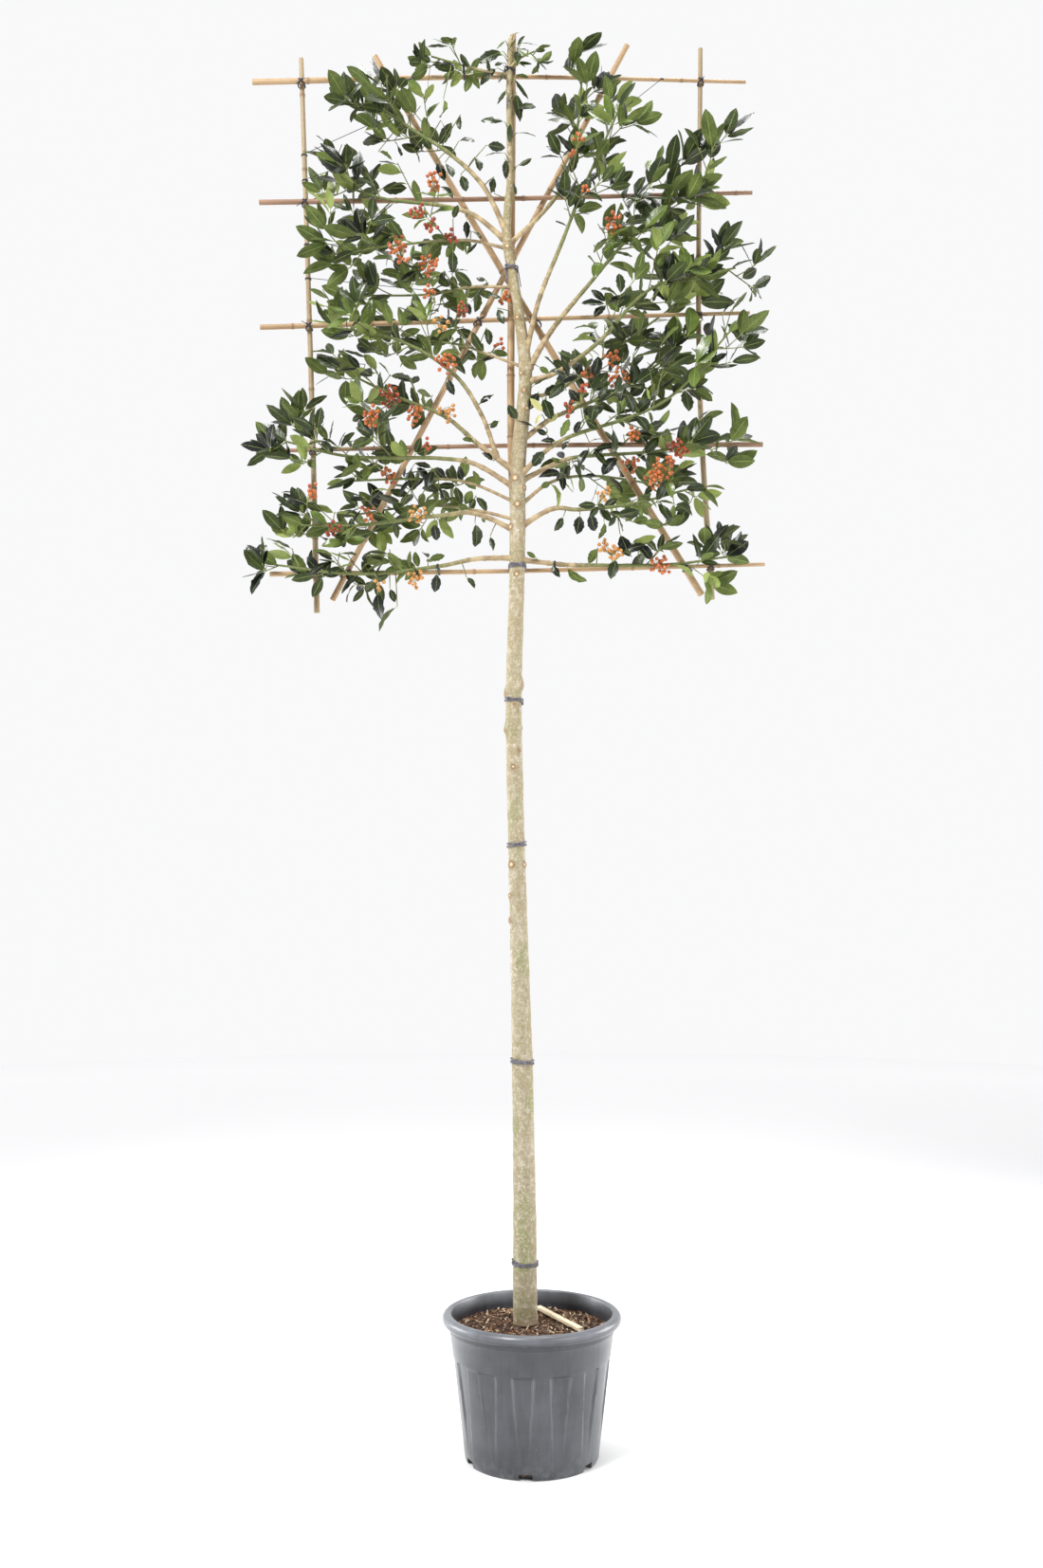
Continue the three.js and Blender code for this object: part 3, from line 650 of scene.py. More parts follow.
@dataclass(frozen=True)
class CaneFinish:
    """Dry bamboo, streaked along its length and darker round its joints."""

    name: str
    colour: Colour
    streak: Colour
    joint: Colour = tint(122, 90, 60)

    def material(self) -> Material:
        """Builds the material.

        Returns:
            The material.
        """
        graph = Graph(self.name)
        grain = graph.attribute("grain", 1)
        streaks = graph.streaks(grain, (190.0, 190.0, 2.5), 4.0, 0.6)
        clouds = graph.streaks(grain, (12.0, 12.0, 4.0), 4.0)
        colour = graph.coats(
            self.colour,
            ((streaks * 0.5 + clouds * 0.6).step(0.42, 0.68), self.streak),
            (graph.attribute("joint").step(0.35, 1.0) * 0.65, self.joint),
            (graph.noise(grain, 26.0, 5.0, 0.65).step(0.6, 0.68) * 0.4, self.joint),
        )
        relief = graph.relief(streaks, 0.0005, 0.6)
        return graph.close(base_color=colour, roughness=streaks * 0.2 + 0.42, normal=relief)


@dataclass(frozen=True)
class RubberFinish:
    """Grey tie tube or dark coated wire, dull and dusty."""

    name: str
    colour: Colour = tint(84, 82, 90)
    dusty: Colour = tint(132, 130, 138)

    def material(self) -> Material:
        """Builds the material.

        Returns:
            The material.
        """
        graph = Graph(self.name)
        dust = graph.noise(graph.place(), 120.0, 4.0, 0.6)
        colour = graph.blend(dust.step(0.45, 0.7), self.colour, self.dusty)
        return graph.close(base_color=colour, roughness=0.6, normal=graph.relief(dust, 0.0006, 0.5))


@dataclass(frozen=True)
class SplitWoodFinish:
    """Freshly split pale wood with its grain."""

    pale: Colour = tint(246, 234, 206)
    dark: Colour = tint(222, 200, 162)

    def material(self) -> Material:
        """Builds the material.

        Returns:
            The material.
        """
        graph = Graph("split_wood")
        grain = graph.attribute("grain", 1)
        lines = graph.streaks(grain, (6.0, 420.0, 420.0), 4.0)
        soil = graph.noise(grain, 70.0, 4.0).step(0.6, 0.7) * 0.5
        colour = graph.coats(self.pale, (lines.step(0.4, 0.65), self.dark), (soil, SoilFinish().light))
        return graph.close(base_color=colour, roughness=0.75, normal=graph.relief(lines, 0.0006))


# ---------------- modelling


class Bench:
    """Short steps of modelling by hand that several pieces share."""

    @staticmethod
    def clear() -> None:
        """Leaves nothing selected, in object mode."""
        if bpy.context.object and bpy.context.object.mode != "OBJECT":
            bpy.ops.object.mode_set(mode="OBJECT")
        bpy.ops.object.select_all(action="DESELECT")

    @staticmethod
    def only(piece: Piece) -> None:
        """Leaves one piece selected and active, in object mode.

        Args:
            piece: The piece.
        """
        Bench.clear()
        piece.select_set(True)
        bpy.context.view_layer.objects.active = piece

    @staticmethod
    def start(name: str) -> Piece:
        """Goes into edit mode on the primitive that was just added.

        Args:
            name: The name that it gets.

        Returns:
            The primitive.
        """
        piece = bpy.context.object
        piece.name = name
        piece.data.name = name
        bpy.ops.object.mode_set(mode="EDIT")
        return piece

    @staticmethod
    def end(piece: Piece) -> Piece:
        """Leaves edit mode with faces outward and the place of the piece in its mesh.

        Args:
            piece: The piece that is being edited.

        Returns:
            The same piece, in object mode.
        """
        bpy.ops.mesh.select_all(action="SELECT")
        bpy.ops.mesh.normals_make_consistent(inside=False)
        bpy.ops.object.mode_set(mode="OBJECT")
        bpy.ops.object.transform_apply(location=True, rotation=True, scale=True)
        return piece

    @staticmethod
    def pick(piece: Piece, test: Callable[[Vector, Vector], bool]) -> None:
        """Selects faces of a piece in edit mode.

        Args:
            piece: The piece that is being edited.
            test: Says whether a face is wanted, from its middle and its normal.
        """
        mesh = bmesh.from_edit_mesh(piece.data)
        bpy.ops.mesh.select_all(action="DESELECT")
        bpy.ops.mesh.select_mode(type="FACE")
        for face in mesh.faces:
            face.select_set(test(face.calc_center_median(), face.normal))
        mesh.select_flush_mode()
        bmesh.update_edit_mesh(piece.data)

    @staticmethod
    def modify(piece: Piece, kind: str, **settings: Any) -> None:
        """Adds a modifier and applies it.

        Args:
            piece: The piece.
            kind: The modifier's type.
            settings: Its settings.
        """
        modifier = piece.modifiers.new(kind.lower(), kind)
        for key, value in settings.items():
            setattr(modifier, key, value)
        Bench.only(piece)
        bpy.ops.object.modifier_apply(modifier=modifier.name)

    @staticmethod
    def smooth(piece: Piece, degrees: float) -> None:
        """Shades a piece smooth, apart from edges sharper than an angle."""
        Bench.only(piece)
        bpy.ops.object.shade_smooth_by_angle(angle=math.radians(degrees))

    @staticmethod
    def corners(piece: Piece) -> Array:
        """Reads the points of a mesh.

        Args:
            piece: The piece.

        Returns:
            A row for each point.
        """
        found = np.zeros(len(piece.data.vertices) * 3)
        piece.data.vertices.foreach_get("co", found)
        return found.reshape(-1, 3)

    @staticmethod
    def move(piece: Piece, corners: Array) -> None:
        """Moves the points of a mesh."""
        piece.data.vertices.foreach_set("co", corners.astype(np.float32).ravel())
        piece.data.update()

    @staticmethod
    def mark(piece: Piece, name: str, values: Array) -> None:
        """Writes an attribute of the points of a mesh.

        Args:
            piece: The piece.
            name: The attribute's name.
            values: A number or a vector for each point.
        """
        kind, field_name = ("FLOAT", "value") if values.ndim == 1 else ("FLOAT_VECTOR", "vector")
        attribute = piece.data.attributes.new(name, kind, "POINT")
        attribute.data.foreach_set(field_name, values.astype(np.float32).ravel())

    @staticmethod
    def sweep(name: str, lines: Sequence[Line], sides: int, closed: bool = False) -> Piece:
        """Draws a round section along lines and makes it a mesh, ring by ring along each.

        Args:
            name: The piece's name.
            lines: Points and radii of each line.
            sides: Corners of the section, an even number from 4.
            closed: Whether each line ends where it starts.

        Returns:
            The mesh object.
        """
        Bench.clear()
        bpy.ops.curve.primitive_bezier_curve_add()
        piece = bpy.context.object
        piece.name = name
        curve = piece.data
        curve.splines.clear()
        curve.bevel_depth = 1.0
        curve.bevel_resolution = (sides - 4) // 2
        for points, radii in lines:
            spline = curve.splines.new("POLY")
            spline.points.add(len(points) - 1)
            spline.points.foreach_set("co", np.column_stack([points, np.ones(len(points))]).ravel())
            spline.points.foreach_set("radius", np.broadcast_to(radii, len(points)).astype(float))
            spline.use_cyclic_u = closed
        bpy.ops.object.convert(target="MESH")
        piece = bpy.context.object
        bpy.ops.object.mode_set(mode="EDIT")
        bpy.ops.mesh.select_all(action="SELECT")
        bpy.ops.mesh.fill_holes(sides=0)
        return Bench.end(piece)


class Heap:
    """Many small shapes that are gathered into one mesh."""

    def __init__(self) -> None:
        """Starts with nothing."""
        self.points: list[Array] = []
        self.faces: list[tuple[int, ...]] = []
        self.slots: list[int] = []
        self.marks: list[Array] = []
        self.count = 0

    def add(
        self, points: Array, faces: Iterable[Sequence[int]], slots: Sequence[int], marks: Array | None = None
    ) -> None:
        """Adds one shape.

        Args:
            points: Its points.
            faces: Its faces, by the numbers of its own points.
            slots: The material slot of each face.
            marks: A vector for each point, for the finish to read.
        """
        self.points.append(points)
        self.faces.extend(tuple(i + self.count for i in face) for face in faces)
        self.slots.extend(slots)
        self.marks.append(np.zeros_like(points) if marks is None else marks)
        self.count += len(points)

    def tube(self, line: Array, radii: Array, sides: int, slot: int = 0) -> None:
        """Adds a round tube with closed ends.

        Args:
            line: The points that it runs along.
            radii: Its radius at each of them.
            sides: The corners of its section.
            slot: Its material slot.
        """
        ahead = np.gradient(line, axis=0)
        across = sideways(unit(ahead[0]), 0.0)
        turns = np.arange(sides) * 2 * math.pi / sides
        rings = []
        for middle, direction, radius in zip(line, ahead, radii):
            direction = unit(direction)
            across = unit(across - direction * (across @ direction))
            other = np.cross(direction, across)
            rings.append(middle + radius * (np.outer(np.cos(turns), across) + np.outer(np.sin(turns), other)))
        last = (len(line) - 1) * sides
        faces = [
            (k + j, k + (j + 1) % sides, k + sides + (j + 1) % sides, k + sides + j)
            for k in range(0, last, sides)
            for j in range(sides)
        ]
        faces += [tuple(range(sides - 1, -1, -1)), tuple(range(last, last + sides))]
        self.add(np.vstack(rings), faces, [slot] * len(faces))

    def piece(self, name: str, materials: Sequence[Material], mark: str = "") -> Piece:
        """Makes one mesh object of all the shapes.

        Args:
            name: The object's name.
            materials: Its material slots.
            mark: The name for the attribute that keeps the marks, if they are wanted.

        Returns:
            The object.
        """
        mesh = bpy.data.meshes.new(name)
        mesh.from_pydata(np.vstack(self.points).tolist(), [], self.faces)
        for material in materials:
            mesh.materials.append(material)
        mesh.polygons.foreach_set("material_index", np.array(self.slots, np.int32))
        piece = bpy.data.objects.new(name, mesh)
        bpy.context.scene.collection.objects.link(piece)
        if mark:
            Bench.mark(piece, mark, np.vstack(self.marks))
        return piece


def hand_over(piece: Piece, nodes: Sequence[str] = (), material: Material | None = None) -> None:
    """Gives a finished piece its finish, its body and the solids that it stands for, and reports it.

    Args:
        piece: The piece.
        nodes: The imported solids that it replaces.
        material: Its finish, where it has only one.
    """
    if material:
        piece.data.materials.clear()
        piece.data.materials.append(material)
    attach(piece, BODY)
    if nodes:
        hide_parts(*nodes)
    triangles = sum(len(face.vertices) - 2 for face in piece.data.polygons)
    LOG.info("%s: %d triangles, for %s", piece.name, triangles, ", ".join(nodes) or "no solid")


# ---------------- pot, soil and slat


@dataclass
class Pot:
    """A moulded pot with a rolled lip, a plain band, sunk panels and notches at its foot."""

    lip_height: float = 0.028
    band_height: float = 0.072
    wall: float = 0.0035
    panels: int = 13
    panel_depth: float = 0.0095
    panel_foot: float = 0.045
    notches: int = 6
    notch_width: float = 0.032
    notch_height: float = 0.015
    notch_depth: float = 0.03
    notch_turn: float = -0.092
    foot_share: float = 0.161 / 0.217
    shoulder_share: float = 0.1985 / 0.217

    def __post_init__(self) -> None:
        """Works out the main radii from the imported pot."""
        low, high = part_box("pot")
        self.lip_radius = (high.x - low.x) / 2
        self.foot_radius = self.lip_radius * self.foot_share
        self.shoulder_radius = self.lip_radius * self.shoulder_share
        self.height = high.z
        self.lip_foot = self.height - self.lip_height
        self.band_foot = self.lip_foot - self.band_height

    def outer(self, height: float) -> float:
        """Gives the outside radius of the plain cone at a height."""
        share = height / self.lip_foot
        return self.foot_radius + (self.shoulder_radius - self.foot_radius) * share

    def inner(self, height: float) -> float:
        """Gives the inside radius at a height."""
        return self.outer(min(height, self.lip_foot)) - self.wall

    def _profile(self) -> list[tuple[float, float]]:
        """Lays out the section of the pot.

        Returns:
            Radius and height, from the middle of the underside to the inside floor.
        """
        lip = self.lip_height / 2
        bead = [
            (self.lip_radius - lip * (1 - math.cos(turn)), self.lip_foot + lip + lip * math.sin(turn))
            for turn in np.linspace(-math.pi * 0.53, math.pi / 2, 11)
        ]
        steps = [0.004, 0.018, 0.03, 0.05, 0.075, 0.1, 0.125, 0.15, 0.175, 0.2]
        side = [(self.outer(z), z) for z in steps if z < self.band_foot - 0.01]
        foot = self.band_foot
        return [
            (0.0, 0.006),
            (self.foot_radius - 0.03, 0.006),
            (self.foot_radius - 0.026, 0.0),
            (self.foot_radius - 0.0015, 0.0),
            *side,
            (self.outer(foot - 0.008), foot - 0.008),
            (self.outer(foot - 0.003), foot - 0.003),
            (self.outer(foot) + 0.0012, foot),
            (self.outer(foot) + 0.002, foot + 0.004),
            (self.outer(foot + 0.04) + 0.002, foot + 0.04),
            (self.shoulder_radius + 0.001, self.lip_foot - 0.013),
            (self.shoulder_radius + 0.0024, self.lip_foot - 0.011),
            (self.shoulder_radius + 0.0024, self.lip_foot - 0.001),
            *bead,
            (self.inner(self.height) + 0.0015, self.height - 0.0015),
            (self.inner(self.height), self.height - 0.004),
            (self.inner(self.lip_foot), self.lip_foot - 0.004),
            (self.inner(0.2), 0.2),
            (self.inner(0.1), 0.1),
            (self.inner(0.02), 0.02),
            (self.inner(0.02) - 0.006, 0.01),
            (0.0, 0.01),
        ]

    def _spun(self) -> Piece:
        """Spins the section round the pot's axis.

        Returns:
            The plain round pot.
        """
        Bench.clear()
        profile = self._profile()
        bpy.ops.mesh.primitive_plane_add(size=0.01, location=(0, 0, profile[0][1]))
        piece = Bench.start("nursery_pot")
        bpy.ops.mesh.merge(type="CENTER")
        for (r0, z0), (r1, z1) in zip(profile, profile[1:]):
            bpy.ops.mesh.extrude_region_move(TRANSFORM_OT_translate={"value": (r1 - r0, 0, z1 - z0)})
        bpy.ops.mesh.select_all(action="SELECT")
        bpy.ops.mesh.spin(steps=self.panels * 30, angle=2 * math.pi, center=(0, 0, 0), axis=(0, 0, 1))
        bpy.ops.mesh.select_all(action="SELECT")
        bpy.ops.mesh.remove_doubles(threshold=1e-5)
        return Bench.end(piece)

    def _sink_panels(self, piece: Piece) -> None:
        """Presses the tall panels into the wall: deepest under the band, fading out above the foot.

        Args:
            piece: The round pot.
        """
        corners = Bench.corners(piece)
        radius = np.hypot(corners[:, 0], corners[:, 1])
        height = corners[:, 2]
        outside = radius > np.vectorize(self.inner)(height) + self.wall / 2
        share, narrow, down = self._panel_at(corners)
        across = np.clip((narrow - share) / 0.06, 0, 1)
        corner = 1 - 0.5 * (share / narrow) ** 4 * np.clip((height - self.band_foot + 0.02) / 0.02, 0, 1)
        depth = self.panel_depth * across * down * np.clip(corner, 0, 1) * outside
        scale = 1 - depth / np.maximum(radius, 1e-6)
        corners[:, :2] *= scale[:, None]
        Bench.move(piece, corners)

    def _panel_at(self, corners: Array) -> tuple[Array, Array, Array]:
        """Tells where points are on the nearest panel.

        Args:
            corners: The points.

        Returns:
            The distance from the panel's middle, its half width there, and how deep it is there, as shares.
        """
        height = corners[:, 2]
        turn = np.arctan2(corners[:, 0], -corners[:, 1]) * self.panels / (2 * math.pi) + 0.25
        share = np.abs(turn - np.round(turn)) * 2
        narrow = np.interp(height, [self.panel_foot, self.band_foot], [0.3, 0.56])
        down = np.interp(height, [self.panel_foot, self.band_foot - 0.006, self.band_foot - 0.002], [0, 1, 0])
        return share, narrow, down

    def _mark_rubbed_and_highlit_edges(self, piece: Piece) -> None:
        """Marks the edges of the panels and the top of the lip, which handling has rubbed paler and which
        also get a painted highlight.

        Args:
            piece: The pot with its panels.
        """
        corners = Bench.corners(piece)
        share, narrow, down = self._panel_at(corners)
        # the whole top of the lip is marked paler: a painted highlight
        lip = np.clip((corners[:, 2] - self.lip_foot - 0.01) / 0.006, 0, 1) * 0.9
        Bench.mark(piece, "arris", np.maximum(np.exp(-(((share - narrow) / 0.05) ** 2)) * down, lip))

    def _cut_notches(self, piece: Piece) -> None:
        """Cuts the drainage notches through the foot.

        Args:
            piece: The pot.
        """
        reach = self.foot_radius - 0.002
        cutters = []
        for k in range(self.notches):
            turn = (k + self.notch_turn) * 2 * math.pi / self.notches
            place = (reach * math.sin(turn), -reach * math.cos(turn), 0.0)
            Bench.clear()
            bpy.ops.mesh.primitive_cube_add(size=1, location=place, rotation=(0, 0, turn))
            bpy.context.object.scale = (self.notch_width, self.notch_depth, self.notch_height * 2)
            cutters.append(bpy.context.object)
        for cutter in cutters:
            cutter.select_set(True)
        bpy.ops.object.join()
        cutter = bpy.context.object
        bpy.ops.object.transform_apply(location=True, rotation=True, scale=True)
        Bench.modify(piece, "BOOLEAN", operation="DIFFERENCE", solver="EXACT", object=cutter)
        bpy.data.objects.remove(cutter)

    def build(self) -> None:
        """Models the pot and dresses it."""
        piece = self._spun()
        self._sink_panels(piece)
        self._cut_notches(piece)
        self._mark_rubbed_and_highlit_edges(piece)
        Bench.smooth(piece, 32)
        hand_over(piece, ["pot"], PlasticFinish().material())


@dataclass
class PottingMix:
    """The filling of the pot: a heaved bed of peat with shredded bark on it."""

    pot: Pot
    cells: int = 110
    heave: float = 0.006
    mound: float = 0.007
    sink_at_wall: float = 0.006
    foot: float = 0.0105
    chips: int = 2200
    tones: Sequence[tuple[str, tuple[int, int, int]]] = (
        ("brown", (70, 50, 40)), ("red", (126, 84, 60)), ("tan", (176, 142, 110)), ("pale", (228, 204, 170))
    )  # fmt: skip
    seed: int = 5

    def __post_init__(self) -> None:
        """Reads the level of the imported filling."""
        low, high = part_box("potting_mix")
        self.level = high.z
        self.radius = (high.x - low.x) / 2

    def level_at(self, x: float, y: float) -> float:
        """Gives the height of the bed.

        Args:
            x: The place across.
            y: The place to the back.

        Returns:
            The height there.
        """
        share = math.hypot(x, y) / self.radius
        coarse, fine = (noise.noise(Vector((x * k, y * k, w))) for k, w in ((22, 3.1), (60, 7.7)))
        lumps = 0.6 * coarse + 0.4 * fine
        foot = math.exp(-(((math.hypot(x + 0.016, y) - 0.03) / 0.025) ** 2)) if share < 0.6 else 0.0
        return self.level - 0.005 + self.heave * lumps - self.sink_at_wall * share**4 + self.mound * foot

    def _bed(self) -> None:
        """Models the bed down to the pot's floor."""
        Bench.clear()
        bpy.ops.mesh.primitive_grid_add(x_subdivisions=self.cells, y_subdivisions=self.cells, size=2)
        piece = Bench.start("peat_bed")
        bpy.ops.mesh.extrude_region_move(TRANSFORM_OT_translate={"value": (0, 0, -1)})
        Bench.end(piece)
        corners = Bench.corners(piece)
        x, y = corners[:, 0].copy(), corners[:, 1].copy()
        top = corners[:, 2] > -0.5
        corners[:, 0] = x * np.sqrt(1 - y * y / 2)
        corners[:, 1] = y * np.sqrt(1 - x * x / 2)
        spread = np.where(top, self.radius, self.pot.inner(0.03) - 0.003)
        corners[:, :2] *= spread[:, None]
        crumbs = [0.002 * noise.noise(Vector((px * 190, py * 190, 1.0))) for px, py, _ in corners]
        levels = [self.level_at(px, py) for px, py, _ in corners]
        corners[:, 2] = np.where(top, np.add(levels, crumbs), self.foot)
        Bench.move(piece, corners)
        Bench.smooth(piece, 50)
        hand_over(piece, ["potting_mix"], SoilFinish().material())

    def _chips(self) -> None:
        """Strews shredded bark over the bed."""
        draw = Chance(self.seed)
        heap = Heap()
        trunk = Limb.of_node("trunk")
        keep_off = float(trunk.radii[0]) + 0.003
        order = [(0, 1, 3, 2), (4, 6, 7, 5), (0, 4, 5, 1), (2, 3, 7, 6), (0, 2, 6, 4), (1, 5, 7, 3)]
        signs = np.array([[a, b, c] for a in (-1, 1) for b in (-1, 1) for c in (-1, 1)], float)
        for _ in range(self.chips):
            turn = draw(0, 2 * math.pi)
            away = (self.radius - 0.008) * math.sqrt(draw(0, 1))
            x, y = away * math.cos(turn), away * math.sin(turn)
            if math.hypot(x - trunk.points[0][0], y - trunk.points[0][1]) < keep_off:
                continue
            size = np.array(
                [draw(0.0015, 0.0075) * draw(0.5, 1.6), draw(0.0005, 0.0024), draw(0.0004, 0.0011)]
            )
            ahead = unit(np.array([draw(-1, 1), draw(-1, 1), draw(-0.35, 0.45)]))
            across = unit(np.cross(ahead, UP + 0.4 * draw.direction()))
            over = np.cross(ahead, across)
            shape = signs * size * np.where(signs[:, :1] > 0, draw(0.35, 1.0), 1.0)
            middle = np.array([x, y, self.level_at(x, y) + size[1] * 0.7 + abs(ahead[2]) * size[0] * 0.7])
            points = middle + shape @ np.vstack([ahead, across, over])
            tone = int(draw(0, 1) ** 1.9 * 4)
            heap.add(points, order, [tone] * len(order))
        tones = [ChipFinish(f"bark_chip_{name}", tint(*tone)).material() for name, tone in self.tones]
        hand_over(heap.piece("bark_chips", tones))

    def build(self) -> None:
        """Models the filling and dresses it."""
        self._bed()
        self._chips()


@dataclass
class Slat:
    """A split of pale wood that lies on the potting mix."""

    cuts: int = 14
    rough: float = 0.0006
    fray: float = 0.004
    fuller: float = 1.15

    def build(self) -> None:
        """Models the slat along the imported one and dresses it."""
        mesh = frame["nodes"]["wooden_slat"].data
        packed = np.unique(np.array([v.co for v in mesh.vertices]).round(5), axis=0)
        middle = packed.mean(0)
        axes = np.linalg.svd(packed - middle, full_matrices=False)[2]
        sizes = np.ptp((packed - middle) @ axes.T, axis=0)
        Bench.clear()
        bpy.ops.mesh.primitive_cube_add(size=1)
        piece = Bench.start("split_slat")
        for k in range(1, self.cuts):
            bpy.ops.mesh.select_all(action="SELECT")
            bpy.ops.mesh.bisect(plane_co=(k / self.cuts - 0.5, 0, 0), plane_no=(1, 0, 0))
        Bench.end(piece)
        Bench.modify(piece, "BEVEL", width=0.04, segments=2, limit_method="ANGLE")
        corners = Bench.corners(piece)
        local = corners * (sizes * (1.0, self.fuller, self.fuller) - np.array([0.0, 2, 2]) * self.rough)
        fray = self.fray * (np.abs(corners[:, 0]) > 0.49)
        local[:, 0] += fray * (np.sin(corners[:, 1] * 9 + corners[:, 2] * 5) - np.sign(local[:, 0]))
        wobble = np.array([noise.noise_vector(Vector(p * 60)) for p in local])
        local += wobble * self.rough * [0.5, 1, 1]
        Bench.mark(piece, "grain", local)
        middle[2] += sizes[2] * (self.fuller - 1) / 2
        Bench.move(piece, middle + local @ axes)
        bpy.ops.object.mode_set(mode="EDIT")
        Bench.end(piece)
        Bench.smooth(piece, 40)
        hand_over(piece, ["wooden_slat"], SplitWoodFinish().material())


# ---------------- trunk


@dataclass(frozen=True)
class Scar:
    """Where a branch was pruned off the trunk: its height, its turn from the front and its radius."""

    height: float
    turn: float
    radius: float = 0.0062


SCARS = (
    Scar(1.287, -59), Scar(1.348, -53), Scar(1.425, -36, 0.009), Scar(1.425, 47, 0.007), Scar(1.668, -9),
    Scar(1.710, 28, 0.006), Scar(1.760, -85, 0.008), Scar(1.819, 5, 0.006), Scar(1.850, -80, 0.009),
    Scar(1.874, 75, 0.009), Scar(2.149, -3, 0.007), Scar(2.270, -49, 0.008), Scar(2.326, -4, 0.008),
    Scar(2.369, 44, 0.007), Scar(2.393, -19, 0.009), Scar(2.571, 24, 0.006), Scar(2.618, -7, 0.007),
    Scar(2.662, -34, 0.006), Scar(2.681, 63, 0.006), Scar(2.806, -21, 0.006), Scar(2.992, -9, 0.006),
    Scar(1.530, 150, 0.008), Scar(1.905, 190, 0.008), Scar(2.230, 165, 0.008), Scar(1.130, 205, 0.008),
)  # fmt: skip


@dataclass
class Trunk:
    """The clear stem from the soil to the cut leader, with the relief of its bark."""

    sides: int = 24
    stations: int = 110
    levels: int = 2
    waves: Sequence[Point] = ((0.00168, 9, 5), (0.00098, 40, 22), (0.0004, 30, 260), (0.00032, 160, 160))
    slimmer: float = 0.0024
    scar_rise: float = 0.006

    def __post_init__(self) -> None:
        """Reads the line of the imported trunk."""
        self.limb = Limb.of_node("trunk")

    def _extruded(self) -> Piece:
        """Extrudes a round section up the line, station by station.

        Returns:
            The smooth trunk.
        """
        shares = np.linspace(0, 1, self.stations)
        line, radii = self.limb.at(shares), self.limb.radius(shares)
        Bench.clear()
        bpy.ops.mesh.primitive_circle_add(
            vertices=self.sides, radius=radii[0], fill_type="NGON", location=tuple(line[0])
        )
        piece = Bench.start("trunk_bark")
        for (start, end), (r0, r1) in zip(zip(line, line[1:]), zip(radii, radii[1:])):
            bpy.ops.mesh.extrude_region_move(TRANSFORM_OT_translate={"value": tuple(end - start)})
            bpy.ops.transform.resize(value=(r1 / r0,) * 3, center_override=tuple(end))
        Bench.end(piece)
        Bench.modify(piece, "SUBSURF", levels=self.levels, render_levels=self.levels)
        return piece

    def _scar_at(self, scar: Scar, around: Array, heights: Array, radii: Array) -> Array:
        """Finds how far inside a scar points lie.

        Args:
            scar: The scar.
            around: The turn of each point round the trunk.
            heights: Its height.
            radii: Its distance from the trunk's middle.

        Returns:
            1 at the scar's middle, falling to 0 beyond its rim.
        """
        turn = np.angle(np.exp(1j * (around - math.radians(scar.turn))))
        away = np.hypot(turn * radii, (heights - scar.height) * 0.85)
        return np.clip(1.6 - away / scar.radius, 0, 1.6) / 1.6

    def _raise_bark(self, piece: Piece) -> None:
        """Moves the points to the bark's relief and marks its grain and its scars.

        Args:
            piece: The smooth trunk.
        """
        corners = Bench.corners(piece)
        shares = np.linspace(0, 1, 1200)
        line = self.limb.at(shares)
        heights = corners[:, 2]
        middle = np.column_stack([np.interp(heights, line[:, 2], line[:, k]) for k in (0, 1)])
        out = corners[:, :2] - middle
        radii = np.hypot(out[:, 0], out[:, 1])
        around = np.arctan2(out[:, 0], -out[:, 1])
        grain = np.column_stack([np.sin(around) * radii, -np.cos(around) * radii, heights])
        rise = np.zeros(len(corners))
        for height, across, upward in self.waves:
            rise += [height * noise.noise(Vector((x * across, y * across, z * upward))) for x, y, z in grain]
        scars = np.zeros(len(corners))
        for scar in SCARS:
            inside = self._scar_at(scar, around, heights, radii)
            scars = np.maximum(scars, inside)
            bulge = np.sin(np.clip(inside * 1.7, 0, 1) * math.pi / 2)
            rise += self.scar_rise * (bulge - 0.35 * (inside > 0.72))
        flare = np.clip(1 - (heights - self.limb.points[0][2]) / 0.034, 0, 1)
        rise += flare * (0.0014 * np.sin(around * 5 + 0.7) - self.slimmer)
        rise *= np.clip(radii / 0.012, 0, 1)
        away = np.where(radii > 1e-6, rise / np.maximum(radii, 1e-6), 0)
        corners[:, :2] += out * away[:, None]
        Bench.move(piece, corners)
        Bench.mark(piece, "grain", grain)
        Bench.mark(piece, "scar", scars)

    def build(self) -> None:
        """Models the trunk and dresses it."""
        piece = self._extruded()
        self._raise_bark(piece)
        Bench.smooth(piece, 60)
        hand_over(piece, ["trunk"], TrunkFinish().material())


# ---------------- bamboo


class CaneTone(Enum):
    """Colours that dry bamboo canes come in: the ground and the streaks."""

    PALE = (tint(170, 154, 120), tint(140, 118, 88))
    TAN = (tint(192, 164, 126), tint(152, 120, 84))
    BROWN = (tint(168, 134, 106), tint(126, 94, 72))


